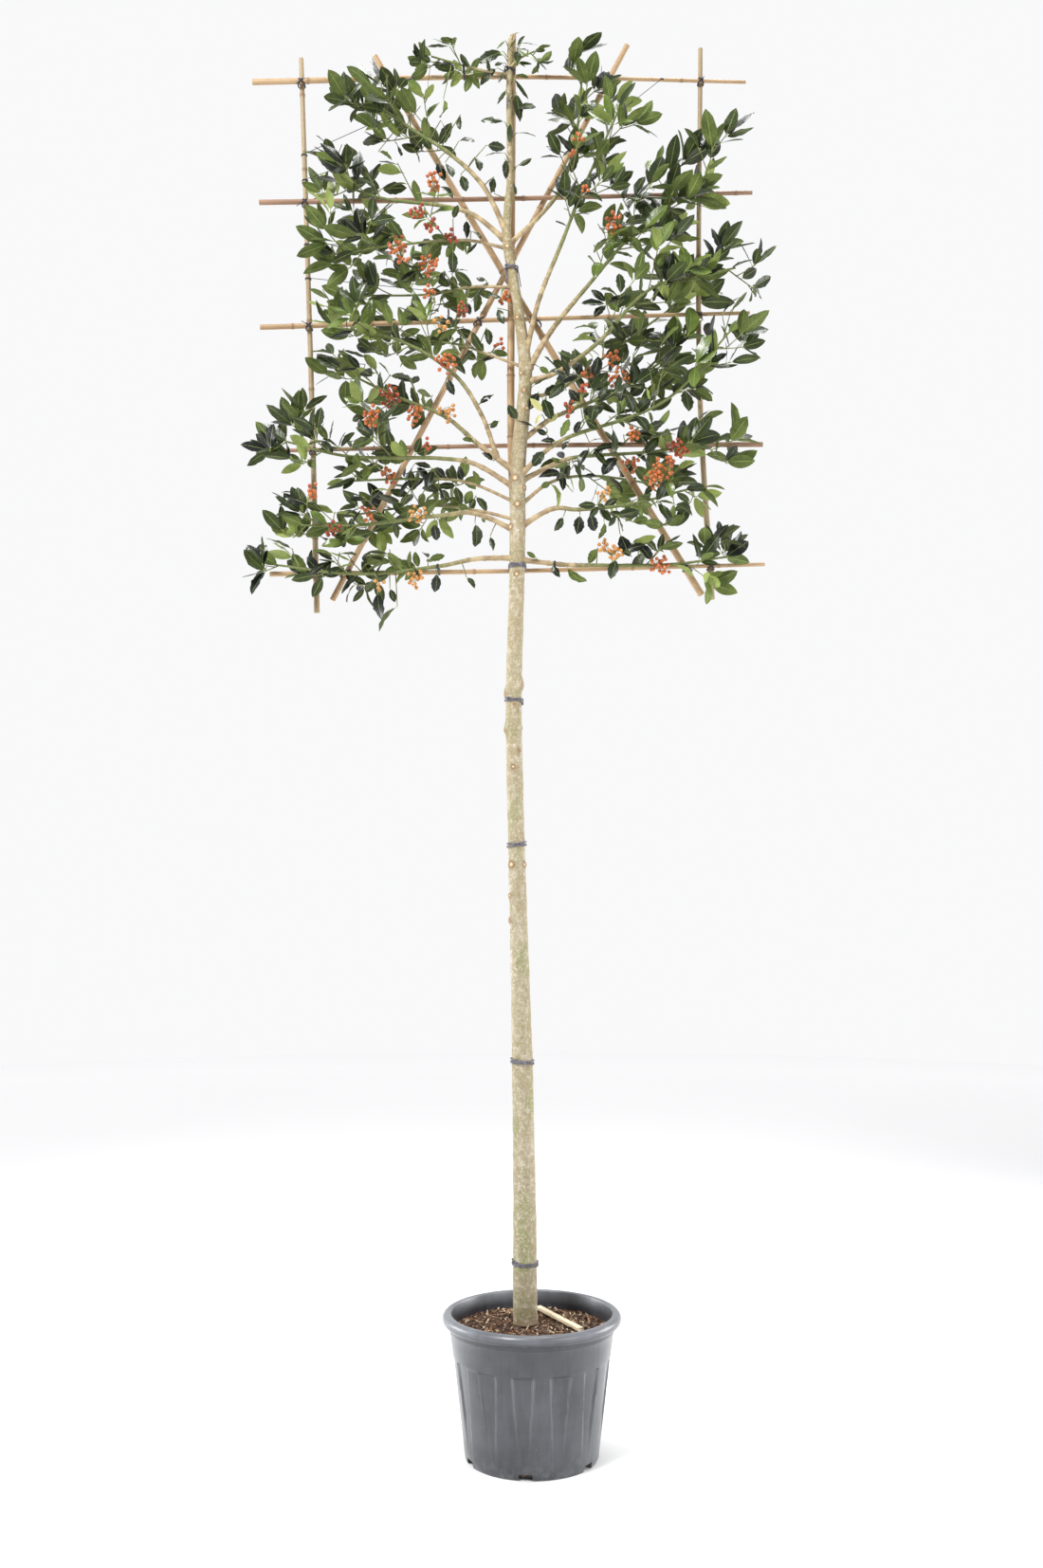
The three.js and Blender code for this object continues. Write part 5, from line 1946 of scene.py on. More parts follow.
# How much closer, and larger, than on the rest leaves stand on some limbs.
LEAFINESS = {
    "left_1": 0.75, "left_2": 0.8, "left_5": 0.85, "left_9": 1.2, "left_10": 1.15, "left_12": 0.9,
    "right_1": 0.8, "right_3": 1.2, "right_4": 1.3, "right_6": 1.4, "right_7": 1.6, "right_8": 1.1,
    "right_9": 1.5,
}  # fmt: skip
SIDES = ("left", "right", "top")
LEAF_CELL = 0.1  # leaves that are further apart never touch
RING_PITCH = 0.006  # between the rings of a bough's mesh


@dataclass(frozen=True)
class SprayRule:
    """Sizes of the growth that all sprays share, as in the solids, and of the finer twigs that they lack."""

    stem_tip: float = 0.005
    stem_end: float = 0.0024
    first_twig: float = 0.04
    shorter: float = 0.35
    trims: tuple[float, ...] = (1.0, 0.7, 0.45)
    twig_room: float = 0.008
    clear_of_limbs: float = 0.007
    upturn: float = 0.1
    leaf_seed: int = 103
    inner_lift: float = -0.5
    outer_lift: float = 0.8
    inner_size: float = 0.62
    full_spread: float = 0.08
    fruit_depth: float = 0.3
    fruit_reach: float = 0.03
    fruit_room: float = 0.0122
    fruitful: float = 1.6
    berry_radius: tuple[float, float] = (0.0045, 0.0056)
    berry_gap: float = 0.0098
    bare_stem: float = 0.24
    twig_radius: float = 0.0019
    twig_end: float = 0.0011
    shoots: int = 2
    shoot_length: tuple[float, float] = (0.5, 0.75)
    leaf_pitch: float = 0.04
    stem_leaf_pitch: float = 0.046
    rosette: int = 4
    tries: int = 5
    leaf_room: float = 0.02
    leaf_length: tuple[float, float] = (0.052, 0.086)
    leaf_width: tuple[float, float] = (0.4, 0.5)
    hung_size: float = 0.35
    flatten: Array = field(default_factory=lambda: np.array([1.0, 0.5, 1.0]))
    reach: float = 0.215
    depth: float = 0.172
    left: float = -0.712
    right: float = 0.606
    top: float = 3.51
    clear_of_others: float = 0.005
    twig_clear: float = 0.002
    leaf_clear: float = 0.003
    fresh_above: float = 3.48
    yellow_between: tuple[float, float] = (2.57, 2.61)


@dataclass(frozen=True)
class Plan:
    """One limb with its line, and the share of it that is a bare bough."""

    row: LimbRow
    limb: Limb
    tip_share: float

    def first_share(self, rule: SprayRule) -> float:
        """Gives the share of the line at which foliage starts."""
        return self.tip_share or rule.bare_stem


class Spaces:
    """The room that each spray keeps to: nearer to its own stem than to any other, and clear of limbs."""

    def __init__(self, plans: Sequence[Plan], hard: Sequence[Limb], rule: SprayRule) -> None:
        """Measures out the short straight lengths of stems and limbs.

        Args:
            plans: The limbs that sprays grow on.
            hard: The trunk and the canes.
            rule: The sizes of the growth.
        """
        self.rule = rule
        starts, ends, owners, radii = [], [], [], []

        def take(limb: Limb, shares: Array, owner: int) -> None:
            """Takes up the straight lengths of a limb.

            Args:
                limb: The limb.
                shares: The shares between which they run.
                owner: The number of its spray, or -1 for wood that all keep clear of.
            """
            line, thick = limb.at(shares), np.asarray(limb.radius(shares))
            starts.extend(line[:-1])
            ends.extend(line[1:])
            owners.extend([owner] * (len(shares) - 1))
            radii.extend(np.maximum(thick[:-1], thick[1:]))

        for index, plan in enumerate(plans):
            take(plan.limb, np.linspace(plan.tip_share, 1, 6 if plan.tip_share else 7), index)
            if plan.tip_share:
                take(plan.limb, np.linspace(0, plan.tip_share, 5), -1)
        for limb in hard:
            take(limb, np.linspace(0, 1, max(3, len(limb.points))), -1)
        self.start = np.array(starts)
        self.along = np.array(ends) - self.start
        self.square = (self.along**2).sum(1)
        self.owner = np.array(owners)
        self.radius = np.array(radii)

    def free(self, index: int, points: Array, clear: float) -> bool:
        """Says whether points keep to the room of a spray.

        Args:
            index: The number of the spray.
            points: The points.
            clear: The gap that they leave to trunk, boughs and canes.

        Returns:
            Whether they all do.
        """
        rule = self.rule
        if np.abs(points[:, 1]).max() > rule.depth or points[:, 2].max() > rule.top:
            return False
        if points[:, 0].min() < rule.left or points[:, 0].max() > rule.right:
            return False
        offset = points[:, None, :] - self.start[None]
        share = np.clip((offset * self.along).sum(2) / self.square, 0, 1)
        away = np.linalg.norm(offset - share[:, :, None] * self.along, axis=2)
        own = away[:, self.owner == index].min(1)
        if own.max() > rule.reach:
            return False
        others = away[:, (self.owner != index) & (self.owner >= 0)].min(1)
        if (others <= own + rule.clear_of_others).any():
            return False
        hard = self.owner < 0
        return bool((away[:, hard] > self.radius[hard] + clear).all())


class LeafTemplate:
    """The grid of a leaf blade: a closed thin shell with a midrib strip, and its stalk."""

    rows = (0.0, 0.07, 0.17, 0.29, 0.41, 0.53, 0.65, 0.77, 0.89, 1.0)
    top = (-1.0, -0.52, -0.03, 0.03, 0.52, 1.0)
    under = (-0.52, -0.04, 0.04, 0.52)

    def __init__(self) -> None:
        """Lays out the points and faces once for all leaves. Slots: 0 on top, 1 below, 2 on the midrib."""
        inner = self.rows[1:-1]
        count, last, width = len(inner), len(inner) - 1, len(self.top) + len(self.under)
        grid = [(0.0, 0.0, 0), (1.0, 0.0, 0)]
        for u in inner:
            grid += [(u, v, 1 if abs(v) < 1 else 0) for v in self.top]
            grid += [(u, v, -1) for v in self.under]
        self.grid = np.array(grid, float)
        self.faces: list[tuple[int, ...]] = []
        self.slots: list[int] = []
        columns = [[2 + i * width + j for i in range(count)] for j in range(width)]
        tops = columns[: len(self.top)]
        unders = [tops[0], *columns[len(self.top) :], tops[-1]]
        for side, chain in enumerate((tops, unders)):
            for j, (a, b) in enumerate(zip(chain, chain[1:])):
                strip = [(a[i], a[i + 1], b[i + 1], b[i]) for i in range(last)]
                strip += [(0, a[0], b[0]), (a[last], 1, b[last])]
                self.faces += [(face[0], *face[:0:-1]) if side else face for face in strip]
                self.slots += [2 if j == 2 else side] * len(strip)
        toothed = [0 < i < last and i % 2 == 0 for i in range(count)]
        self.teeth = np.concatenate([[0, 0], np.repeat(toothed, width)]) * (self.grid[:, 2] == 0)
        coarse_u, coarse_v = np.meshgrid([0.02, 0.25, 0.5, 0.75, 0.98], [-0.9, 0.0, 0.9], indexing="ij")
        self.coarse = np.column_stack([coarse_u.ravel(), coarse_v.ravel(), np.zeros(coarse_u.size)])
        self.coarse_faces = [
            (3 * i + j, 3 * i + 3 + j, 3 * i + 4 + j, 3 * i + 1 + j) for i in range(4) for j in range(2)
        ]


@dataclass(frozen=True)
class LeafPose:
    """How one leaf sits and curls.

    Attributes:
        root: Where its stalk leaves the twig.
        aim: The direction of its midrib at the stalk.
        face: The side that its upper face looks to.
        length: The length of the blade.
        width: The width of the blade.
        fold: How far its halves rise, as a slope. Below 0 they droop.
        bend: How far its tip bends down, in radians.
        twist: How far it turns from end to end, in radians.
        wave: How far its margin waves, as a share of its width.
        spines: How far spines stand out of its margin, as a share of its width.
    """

    root: Array
    aim: Array
    face: Array
    length: float
    width: float
    fold: float
    bend: float
    twist: float
    wave: float
    spines: float

    stalk = 0.1
    thickness = 0.0005

    def points(self, grid: Array, teeth: Array | None = None) -> Array:
        """Places the points of a grid on this leaf.

        Args:
            grid: Share along, share across and side of each point.
            teeth: Which of them are the points of spines.

        Returns:
            Their places.
        """
        u, v, side = grid.T
        across = unit(np.cross(self.face, self.aim))
        over = np.cross(self.aim, across)
        half = self.width / 2 * np.sin(math.pi * np.clip(u, 0, 1) ** 0.93) ** 0.72
        if teeth is not None:
            half = half * (1 + self.spines * teeth)
        y = v * half
        z = self.fold * np.abs(y) + side * self.thickness * (1 - 0.3 * np.abs(v))
        z = z + self.wave * self.width * np.sin(u * 17 + v) * np.abs(v) ** 2 * np.sin(math.pi * u)
        turn = self.twist * u
        y, z = y * np.cos(turn) - z * np.sin(turn), y * np.sin(turn) + z * np.cos(turn)
        arc = self.bend * u
        bend = self.bend if abs(self.bend) > 1e-3 else 1e-3
        x = self.length * np.sin(bend * u) / bend + z * np.sin(arc)
        z = -self.length * (1 - np.cos(bend * u)) / bend + z * np.cos(arc)
        x = x + self.length * self.stalk
        return self.root + np.outer(x, self.aim) + np.outer(y, across) + np.outer(z, over)


@dataclass
class Shoot:
    """A thin twig: its line, its radii, and the spray that it belongs to."""

    spray: int
    line: Array
    radii: Array

    def at(self, share: float) -> Array:
        """Gives a point on the line.

        Args:
            share: A share of the line, from 0 to 1.

        Returns:
            The point.
        """
        place = share * (len(self.line) - 1)
        k = min(int(place), len(self.line) - 2)
        return self.line[k] + (self.line[k + 1] - self.line[k]) * (place - k)

    def onward(self, share: float = 1.0) -> Array:
        """Gives the direction of the line at a share of it."""
        k = min(int(share * (len(self.line) - 1)), len(self.line) - 2)
        return unit(self.line[k + 1] - self.line[k])

    def length(self) -> float:
        """Measures the line."""
        return float(np.linalg.norm(np.diff(self.line, axis=0), axis=1).sum())


@dataclass
class Perch:
    """Where a cluster of berries hangs: its foot on a twig, its middle and its radius."""

    cluster: Cluster
    foot: Array
    middle: Array
    radius: float
    open_depth: float = 0.09

    def hides(self, points: Array) -> bool:
        """Says whether points lie in the cluster or in the open room in front of it.

        Args:
            points: The points.

        Returns:
            Whether any of them does.
        """
        offset = points - self.middle
        offset[:, 1] = np.maximum(offset[:, 1], 0) + np.minimum(offset[:, 1] + self.open_depth, 0)
        return bool((np.linalg.norm(offset, axis=1) < self.radius).any())


class Canopy:
    """Boughs, twigs, leaves and berries, grown by the rule that the solids' sprays follow."""

    def __init__(self, rule: SprayRule = SprayRule()) -> None:
        """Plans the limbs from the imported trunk.

        Args:
            rule: The sizes of the growth.
        """
        self.rule = rule
        self.trunk = Limb.of_node("trunk")
        self.plans: list[Plan] = []
        for row in LIMB_ROWS:
            self.plans.append(self._plan(row))
        canes = [Limb.of_node(name) for name in frame["nodes"] if name.startswith("cane_")]
        self.spaces = Spaces(self.plans, [self.trunk, *canes], rule)
        self.template = LeafTemplate()
        self.shoots: list[Shoot] = []
        self.stalks: list[Shoot] = []
        self.leaves: list[tuple[int, int, LeafPose]] = []
        self.fruit: list[Perch] = []
        self._twig_probes: list[tuple[int, Array]] = []
        self._near: dict[tuple[int, int, int], list[tuple[Array, BVHTree]]] = {}

    def _plan(self, row: LimbRow) -> Plan:
        """Lays out one limb as the solids have it.

        Args:
            row: Where it runs.

        Returns:
            Its line and radii.
        """
        if row.parent:
            parent = next(plan for plan in self.plans if plan.row.name == row.parent)
            root = parent.limb.at(row.share)
        else:
            root = self.trunk.at(self.trunk.share_at(row.start))
        points = [p for p in (tuple(root), row.knee, row.tip, row.bend, row.end) if p is not None]
        last = len(points) - 1
        first = 2 if row.tip else 0
        radii = []
        for k in range(len(points)):
            if row.tip and k < first:
                radii.append(row.girth + (self.rule.stem_tip - row.girth) * k / first)
            else:
                start = self.rule.stem_tip if row.tip else row.girth * 0.8
                radii.append(start + (self.rule.stem_end - start) * (k - first) / (last - first))
        return Plan(row, Limb(points, radii), first / last)

    def grow(self) -> None:
        """Grows every spray: first all twigs, then their leaves."""
        for index, plan in enumerate(self.plans):
            self._grow_twigs(index, plan, Chance(index + 1))
        self._dress_leader()
        self._dress_boughs()
        self.fruit = [self._perch(cluster) for cluster in CLUSTERS]
        for index, plan in enumerate(self.plans):
            draw = Chance(index + self.rule.leaf_seed)
            self._leaf_stem(index, plan, draw)
            for shoot in [shoot for shoot in self.shoots if shoot.spray == index]:
                self._leaf_shoot(shoot, draw)

    def _dress_leader(self) -> None:
        """Hangs small leaves on short stalks from the front of the leader."""
        draw = Chance(5)
        owner = next(k for k, plan in enumerate(self.plans) if plan.row.name == "top_left")
        for x0, z0, x1, z1 in LEADER_LEAVES:
            share = self.trunk.share_at(z0 - 0.006)
            core, thick = self.trunk.at(share), float(self.trunk.radius(share))
            away = unit(np.array([x0 - core[0], -0.6 * thick, 0]))
            foot = core + away * thick * 0.9
            root = np.array([x0, min(foot[1], -thick) - 0.002, z0])
            tip = np.array([x1, root[1] - draw(0.0, 0.012), z1])
            length = float(np.linalg.norm(tip - root))
            face = unit(np.array([0.0, draw(-1.0, -0.3), draw(0.2, 0.9)]) + draw.direction() * 0.4)
            pose = LeafPose(
                root, unit(tip - root), face, length, length * draw(0.34, 0.46),
                fold=draw(-0.5, 0.4), bend=draw(0.1, 1.0), twist=draw(-0.8, 0.8), wave=0.04, spines=0.12,
            )  # fmt: skip
            fresh = z0 > self.rule.fresh_above and draw(0, 1) > 0.4
            low, high = self.rule.yellow_between
            tone = 3 if low < z0 < high else 2 if fresh else 1
            self._keep_leaf(owner, tone, pose, foot, (0.0014, 0.0011, 0.0009), 0.001)

    def _dress_boughs(self) -> None:
        """Hangs leaves on short stalks from the front of the bare boughs near the trunk."""
        draw = Chance(9)
        lines = [plan.limb.at(np.linspace(0, 1, 60)) for plan in self.plans]
        for x0, z0, x1, z1, tone in BOUGH_LEAVES:
            away = [np.hypot(line[:, 0] - x0, line[:, 2] - z0) + 0.3 * line[:, 1] for line in lines]
            owner = int(np.argmin([a.min() for a in away]))
            nearest = int(np.argmin(away[owner]))
            thick = float(self.plans[owner].limb.radius(nearest / (len(lines[owner]) - 1)))
            foot = lines[owner][nearest]
            root = np.array([x0, foot[1] - thick - draw(0.004, 0.014), z0])
            tip = np.array([x1, root[1] + draw(-0.016, 0.006), z1])
            length = float(np.linalg.norm(tip - root))
            face = unit(np.array([0.0, draw(-1.0, 0.4), draw(0.1, 0.8)]) + draw.direction() * 0.4)
            pose = LeafPose(
                root, unit(tip - root), face, length, length * draw(0.42, 0.56),
                fold=draw(-0.4, 0.4), bend=draw(0.1, 1.2), twist=draw(-0.9, 0.9), wave=0.05, spines=0.14,
            )  # fmt: skip
            self._keep_leaf(owner, tone, pose, foot, (0.0016, 0.0013, 0.001), 0.002)

    def _keep_leaf(
        self, owner: int, tone: int, pose: LeafPose, foot: Array, radii: Point, rise: float
    ) -> None:
        """Keeps a leaf that hangs on a short stalk of its own.

        Args:
            owner: The number of its spray.
            tone: Which of the plain colours it has.
            pose: How it sits.
            foot: Where its stalk leaves the wood.
            radii: The radii of that stalk at its ends and its middle.
            rise: How far the stalk bows up.
        """
        self.leaves.append((owner, tone, pose))
        self._has_room(pose.points(self.template.coarse))
        middle = (foot + pose.root) / 2 + UP * rise
        self.stalks.append(Shoot(owner, np.array([foot, middle, pose.root]), np.array(radii)))

    def _perch(self, cluster: Cluster) -> Perch:
        """Finds the twig or stem that a cluster hangs on: one that passes near its place, and in front.

        Args:
            cluster: The cluster.

        Returns:
            Where it hangs.
        """
        stems = [
            Shoot(index, plan.limb.at(np.linspace(plan.tip_share, 1, 12)), np.full(12, 0.003))
            for index, plan in enumerate(self.plans)
        ]
        best: tuple[float, Shoot, float] | None = None
        for shoot in (*self.shoots, *stems):
            for share in np.linspace(0.1, 0.95, 12):
                x, y, z = shoot.at(share)
                away = math.hypot(x - cluster.x, z - cluster.z) + self.rule.fruit_depth * (y + 0.2)
                if best is None or away < best[0]:
                    best = (away, shoot, float(share))
        foot = best[1].at(best[2])
        drawn = np.array([cluster.x - foot[0], -0.012, cluster.z - foot[2]])
        reach = float(np.linalg.norm(drawn))
        middle = foot + drawn * min(1.0, self.rule.fruit_reach / reach)
        return Perch(cluster, foot, middle, self.rule.fruit_room * cluster.berries ** (1 / 3))

    def _grow_twigs(self, index: int, plan: Plan, draw: Chance) -> None:
        """Grows the side twigs of one spray, each with its finer shoots.

        Args:
            index: The number of the spray.
            plan: Its limb.
            draw: Its chances.
        """
        rule, row = self.rule, plan.row
        first = plan.first_share(rule)
        for k in range(row.twigs):
            along = rule.first_twig + (1 - rule.first_twig) * (k + draw(0.3, 0.9)) / row.twigs
            share = first + (1 - first) * along
            base, ahead = plan.limb.at(share), plan.limb.ahead(share)
            out = sideways(ahead, k * GOLDEN_ANGLE + draw(-0.4, 0.4))
            aim = unit(ahead * 0.65 + out * 0.9 + UP * (0.2 - row.hang * 0.7))
            full = row.spread * (1 - rule.shorter * along) * draw(0.75, 1.1)
            twig = self._try_twig(index, base, aim, full)
            if twig:
                self._branch(twig, twig.length(), Chance(1000 + index * 40 + k))

    def _try_twig(self, index: int, base: Array, aim: Array, full: float) -> Shoot | None:
        """Adds a main twig, trimmed until it keeps to its room and clear of the others.

        Args:
            index: The number of the spray.
            base: Where the twig leaves the stem.
            aim: Its direction.
            full: Its length before it is trimmed.

        Returns:
            The twig, or none if it found no room.
        """
        rule = self.rule
        others = [probes for owner, probes in self._twig_probes if owner == index]
        for trim in rule.trims:
            probes = base + np.outer(np.linspace(0.15, 1, 6) * full * trim, aim)
            gaps = [np.linalg.norm(probes[:, None] - other[None], axis=2).min() for other in others]
            roomy = min(gaps, default=1.0) > rule.twig_room
            if roomy and self.spaces.free(index, probes, rule.clear_of_limbs):
                self._twig_probes.append((index, probes))
                return self._add_shoot(index, base, aim, full * trim, rule.twig_radius)
        return None

    def _branch(self, twig: Shoot, full: float, draw: Chance) -> None:
        """Grows the finer shoots of a twig.

        Args:
            twig: The twig.
            full: Its length.
            draw: The chances of its shoots.
        """
        rule = self.rule
        for j in range(rule.shoots):
            share = 0.3 + 0.5 * j / max(1, rule.shoots - 1) + draw(-0.08, 0.08)
            onward = twig.onward(share)
            out = sideways(onward, j * math.pi + draw(-0.7, 0.7))
            aim = unit(onward * 0.75 + out * draw(0.6, 0.95) + UP * draw(0.1, 0.6))
            length = full * draw(*rule.shoot_length)
            self._try_shoot(twig.spray, twig.at(share), aim, length, rule.twig_end * 1.25)

    def _try_shoot(self, index: int, base: Array, aim: Array, full: float, radius: float) -> Shoot | None:
        """Adds a finer shoot, trimmed until it keeps to its room.

        Args:
            index: The number of the spray.
            base: Where the shoot leaves its twig.
            aim: Its direction.
            full: Its length before it is trimmed.
            radius: Its radius at the base.

        Returns:
            The shoot, or none if it found no room.
        """
        for trim in self.rule.trims:
            probes = base + np.outer(np.linspace(0.25, 1, 4) * full * trim, aim)
            if self.spaces.free(index, probes, self.rule.twig_clear):
                return self._add_shoot(index, base, aim, full * trim, radius)
        return None

    def _add_shoot(self, index: int, base: Array, aim: Array, length: float, radius: float) -> Shoot:
        """Adds a shoot whose tip turns up to the light.

        Args:
            index: The number of the spray.
            base: Where the shoot starts.
            aim: Its direction.
            length: Its length.
            radius: Its radius at the base.

        Returns:
            The shoot.
        """
        shares = np.linspace(0, 1, 6)
        rise = self.rule.upturn * (1 - abs(aim[2])) * length
        line = base + np.outer(shares * length, aim) + np.outer(rise * shares**2, UP)
        shoot = Shoot(index, line, np.linspace(radius, self.rule.twig_end, len(line)))
        self.shoots.append(shoot)
        return shoot

    def _leaf_shoot(self, shoot: Shoot, draw: Chance) -> None:
        """Hangs a rosette at the end of a shoot and leaves along it.

        Args:
            shoot: The shoot.
            draw: The chances of its spray.
        """
        rule = self.rule
        tone = self._tone(draw)
        turn = draw(0, 6)
        for j in range(rule.rosette):
            share = 1 - 0.05 * j
            root, onward = shoot.at(share), shoot.onward(share)
            self._try_leaf(shoot.spray, root, onward, 0.35 + 0.17 * j, turn + j * 2.4, tone, draw)
        count = int(shoot.length() * self._leafiness(shoot.spray) / rule.leaf_pitch)
        for j in range(1, count):
            share = 0.9 - 0.85 * j / count
            root, onward, splay = shoot.at(share), shoot.onward(share), draw(0.85, 1.25)
            self._try_leaf(shoot.spray, root, onward, splay, j * GOLDEN_ANGLE, tone, draw)

    def _leaf_stem(self, index: int, plan: Plan, draw: Chance) -> None:
        """Hangs leaves along the stem of a spray and a rosette at its end.

        Args:
            index: The number of the spray.
            plan: Its limb.
            draw: Its chances.
        """
        rule = self.rule
        first = plan.first_share(rule)
        count = int(plan.limb.length() * (1 - first) * self._leafiness(index) / rule.stem_leaf_pitch)
        for k in range(count, -1, -1):
            share = first + (0.985 - first) * k / count
            splay = 0.3 + 0.18 * (count - k) if count - k < rule.rosette else draw(0.8, 1.2)
            onward, tone = plan.limb.ahead(share), self._tone(draw)
            self._try_leaf(index, plan.limb.at(share), onward, splay, k * GOLDEN_ANGLE, tone, draw)

    def _leafiness(self, index: int) -> float:
        """Gives how close leaves stand on a limb."""
        return LEAFINESS.get(self.plans[index].row.name, 1.0)

    @staticmethod
    def _tone(draw: Chance) -> int:
        """Draws one of the leaf colours: mostly deep green, seldom fresh."""
        return (0, 0, 1, 1, 1, 2)[int(draw(0, 6))]

    def _try_leaf(
        self, index: int, root: Array, onward: Array, splay: float, turn: float, tone: int, draw: Chance
    ) -> None:
        """Tries a leaf, turned a little further each time, until one fits.

        Args:
            index: The number of the spray.
            root: Where it leaves its twig.
            onward: The direction of that twig.
            splay: The angle between leaf and twig.
            turn: The angle round the twig.
            tone: Which of the plain colours it has.
            draw: The spray's own chances.
        """
        rule = self.rule
        row, line = self.plans[index].row, self.plans[index].limb.points
        age = min(1.0, float(np.linalg.norm(root - line[0]) / np.linalg.norm(line[-1] - line[0])))
        lift = rule.inner_lift + (rule.outer_lift - rule.inner_lift) * age - row.hang
        size = (rule.inner_size + (1 - rule.inner_size) * age) * min(1.0, row.spread / rule.full_spread)
        size *= (1 - rule.hung_size * max(0.0, row.hang)) * self._leafiness(index) ** 0.3
        for attempt in range(rule.tries):
            out = sideways(onward, turn + attempt * GOLDEN_ANGLE + draw(-0.4, 0.4))
            angle = splay + 0.12 * attempt
            aim = onward * math.cos(angle) + out * math.sin(angle) + UP * lift * draw(0.4, 1.0)
            aim = unit(aim * rule.flatten)
            face = onward * math.sin(angle) - out * math.cos(angle) + UP * 0.55 + draw.direction() * 0.35
            face = unit(face / rule.flatten)
            length = draw(*rule.leaf_length) * size
            pose = LeafPose(
                root, aim, face, length, length * draw(*rule.leaf_width), fold=draw(-0.25, 0.4),
                bend=draw(0.0, 1.3 - 0.7 * age), twist=draw(-0.7, 0.7) * (1.1 - 0.7 * age),
                wave=draw(0.0, 0.06), spines=max(0.0, draw(-0.3, 0.26 - 0.12 * age)),
            )  # fmt: skip
            probes = pose.points(self.template.coarse)
            if any(perch.hides(probes) for perch in self.fruit):
                continue
            if self.spaces.free(index, probes, rule.leaf_clear) and self._has_room(probes):
                self.leaves.append((index, tone, pose))
                return

    def _has_room(self, probes: Array) -> bool:
        """Says whether a leaf cuts through no other, and keeps it for later ones if so.

        Args:
            probes: The points of its coarse grid.

        Returns:
            Whether it has room.
        """
        middle = probes[len(probes) // 2]
        cell = tuple(int(c // LEAF_CELL) for c in middle)
        own = BVHTree.FromPolygons(probes.tolist(), self.template.coarse_faces)
        for steps in itertools.product((-1, 0, 1), repeat=3):
            for other, tree in self._near.get(tuple(c + step for c, step in zip(cell, steps)), ()):
                away = float(np.linalg.norm(other - middle))
                if away < self.rule.leaf_room or (away < LEAF_CELL and own.overlap(tree)):
                    return False
        self._near.setdefault(cell, []).append((middle, own))
        return True

    def nodes(self, start: str, side: str) -> list[str]:
        """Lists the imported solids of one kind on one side."""
        return sorted(name for name in frame["nodes"] if name.startswith(f"{start}_{side}"))

    def _side(self, index: int) -> str:
        """Gives the side of a spray: left, right or top."""
        return self.plans[index].row.name.split("_")[0]

    def build_limbs(self) -> None:
        """Sweeps the boughs and the stems of the sprays, with the relief of their bark."""
        finish = BoughFinish().material()
        sides = 12
        for side in SIDES:
            plans = [plan for plan in self.plans if plan.row.name.startswith(side)]
            lines = []
            for plan in plans:
                shares = plan.limb.shares(RING_PITCH)
                line = plan.limb.at(shares)
                reach = np.linalg.norm(line - line[0], axis=1)
                collar = 1 + 0.3 * np.exp(-np.maximum(reach - 0.016, 0) / 0.01)
                lines.append((line, plan.limb.radius(shares) * collar))
            piece = Bench.sweep(f"boughs_{side}", lines, sides)
            self._raise_bark(piece, lines, sides)
            Bench.smooth(piece, 60)
            boughs = self.nodes("bough", side)
            hand_over(piece, boughs or self.nodes("spray", side), finish)

    @staticmethod
    def _raise_bark(piece: Piece, lines: Sequence[Line], sides: int) -> None:
        """Moves the points of swept limbs to the relief of their bark and marks grain and youth.

        Args:
            piece: The swept limbs.
            lines: Their lines and radii.
            sides: The corners of their section.
        """
        corners = Bench.corners(piece)
        middles = np.vstack([np.repeat(line, sides, axis=0) for line, _ in lines])
        radii = np.concatenate([np.repeat(r, sides) for _, r in lines])
        along = np.concatenate([np.repeat(np.arange(len(line)) * RING_PITCH, sides) for line, _ in lines])
        youth = np.concatenate([np.repeat(np.linspace(0, 1, len(line)), sides) for line, _ in lines])
        out = corners - middles
        rise = np.array([
            0.09 * noise.noise(Vector(p * 55)) + 0.07 * noise.noise(Vector(p * 190)) for p in corners
        ])  # fmt: skip
        bud_pitch = 0.034
        bud = np.exp(-(((along / bud_pitch) % 1 - 0.5) / 0.07) ** 2)
        rise += 0.12 * bud
        Bench.move(piece, corners + out * rise[:, None])
        turn = np.tile(np.arange(sides) * 2 * math.pi / sides, len(corners) // sides)
        grain = np.column_stack([np.cos(turn) * radii, np.sin(turn) * radii, along + middles[:, 2]])
        Bench.mark(piece, "grain", grain)
        Bench.mark(piece, "youth", youth)

    def build_twigs(self) -> None:
        """Joins the twigs of each side into one mesh."""
        finish = GreenFinish("twig_rind", tint(118, 128, 70), tint(96, 92, 58)).material()
        for side in SIDES:
            heap = Heap()
            for shoot in (*self.shoots, *self.stalks):
                if self._side(shoot.spray) == side:
                    heap.tube(shoot.line, shoot.radii, 6)
            piece = heap.piece(f"twigs_{side}", [finish])
            Bench.smooth(piece, 60)
            hand_over(piece, self.nodes("spray", side))

    def build_leaves(self) -> None:
        """Joins the leaves of each side into one mesh, with plain colours dealt out by twig."""
        finishes = [LeafFinish(tone, face) for face in LeafFace for tone in LeafTone]
        materials = [finish.material() for finish in finishes]
        rib = GreenFinish("leaf_rib", tint(150, 166, 88), tint(126, 142, 72)).material()
        for side in SIDES:
            heap = Heap()
            for index, tone, pose in self.leaves:
                if self._side(index) == side:
                    self._add_leaf(heap, pose, tone)
            piece = heap.piece(f"leaves_{side}", [*materials, rib], "blade")
            Bench.smooth(piece, 50)
            hand_over(piece, self.nodes("spray", side))

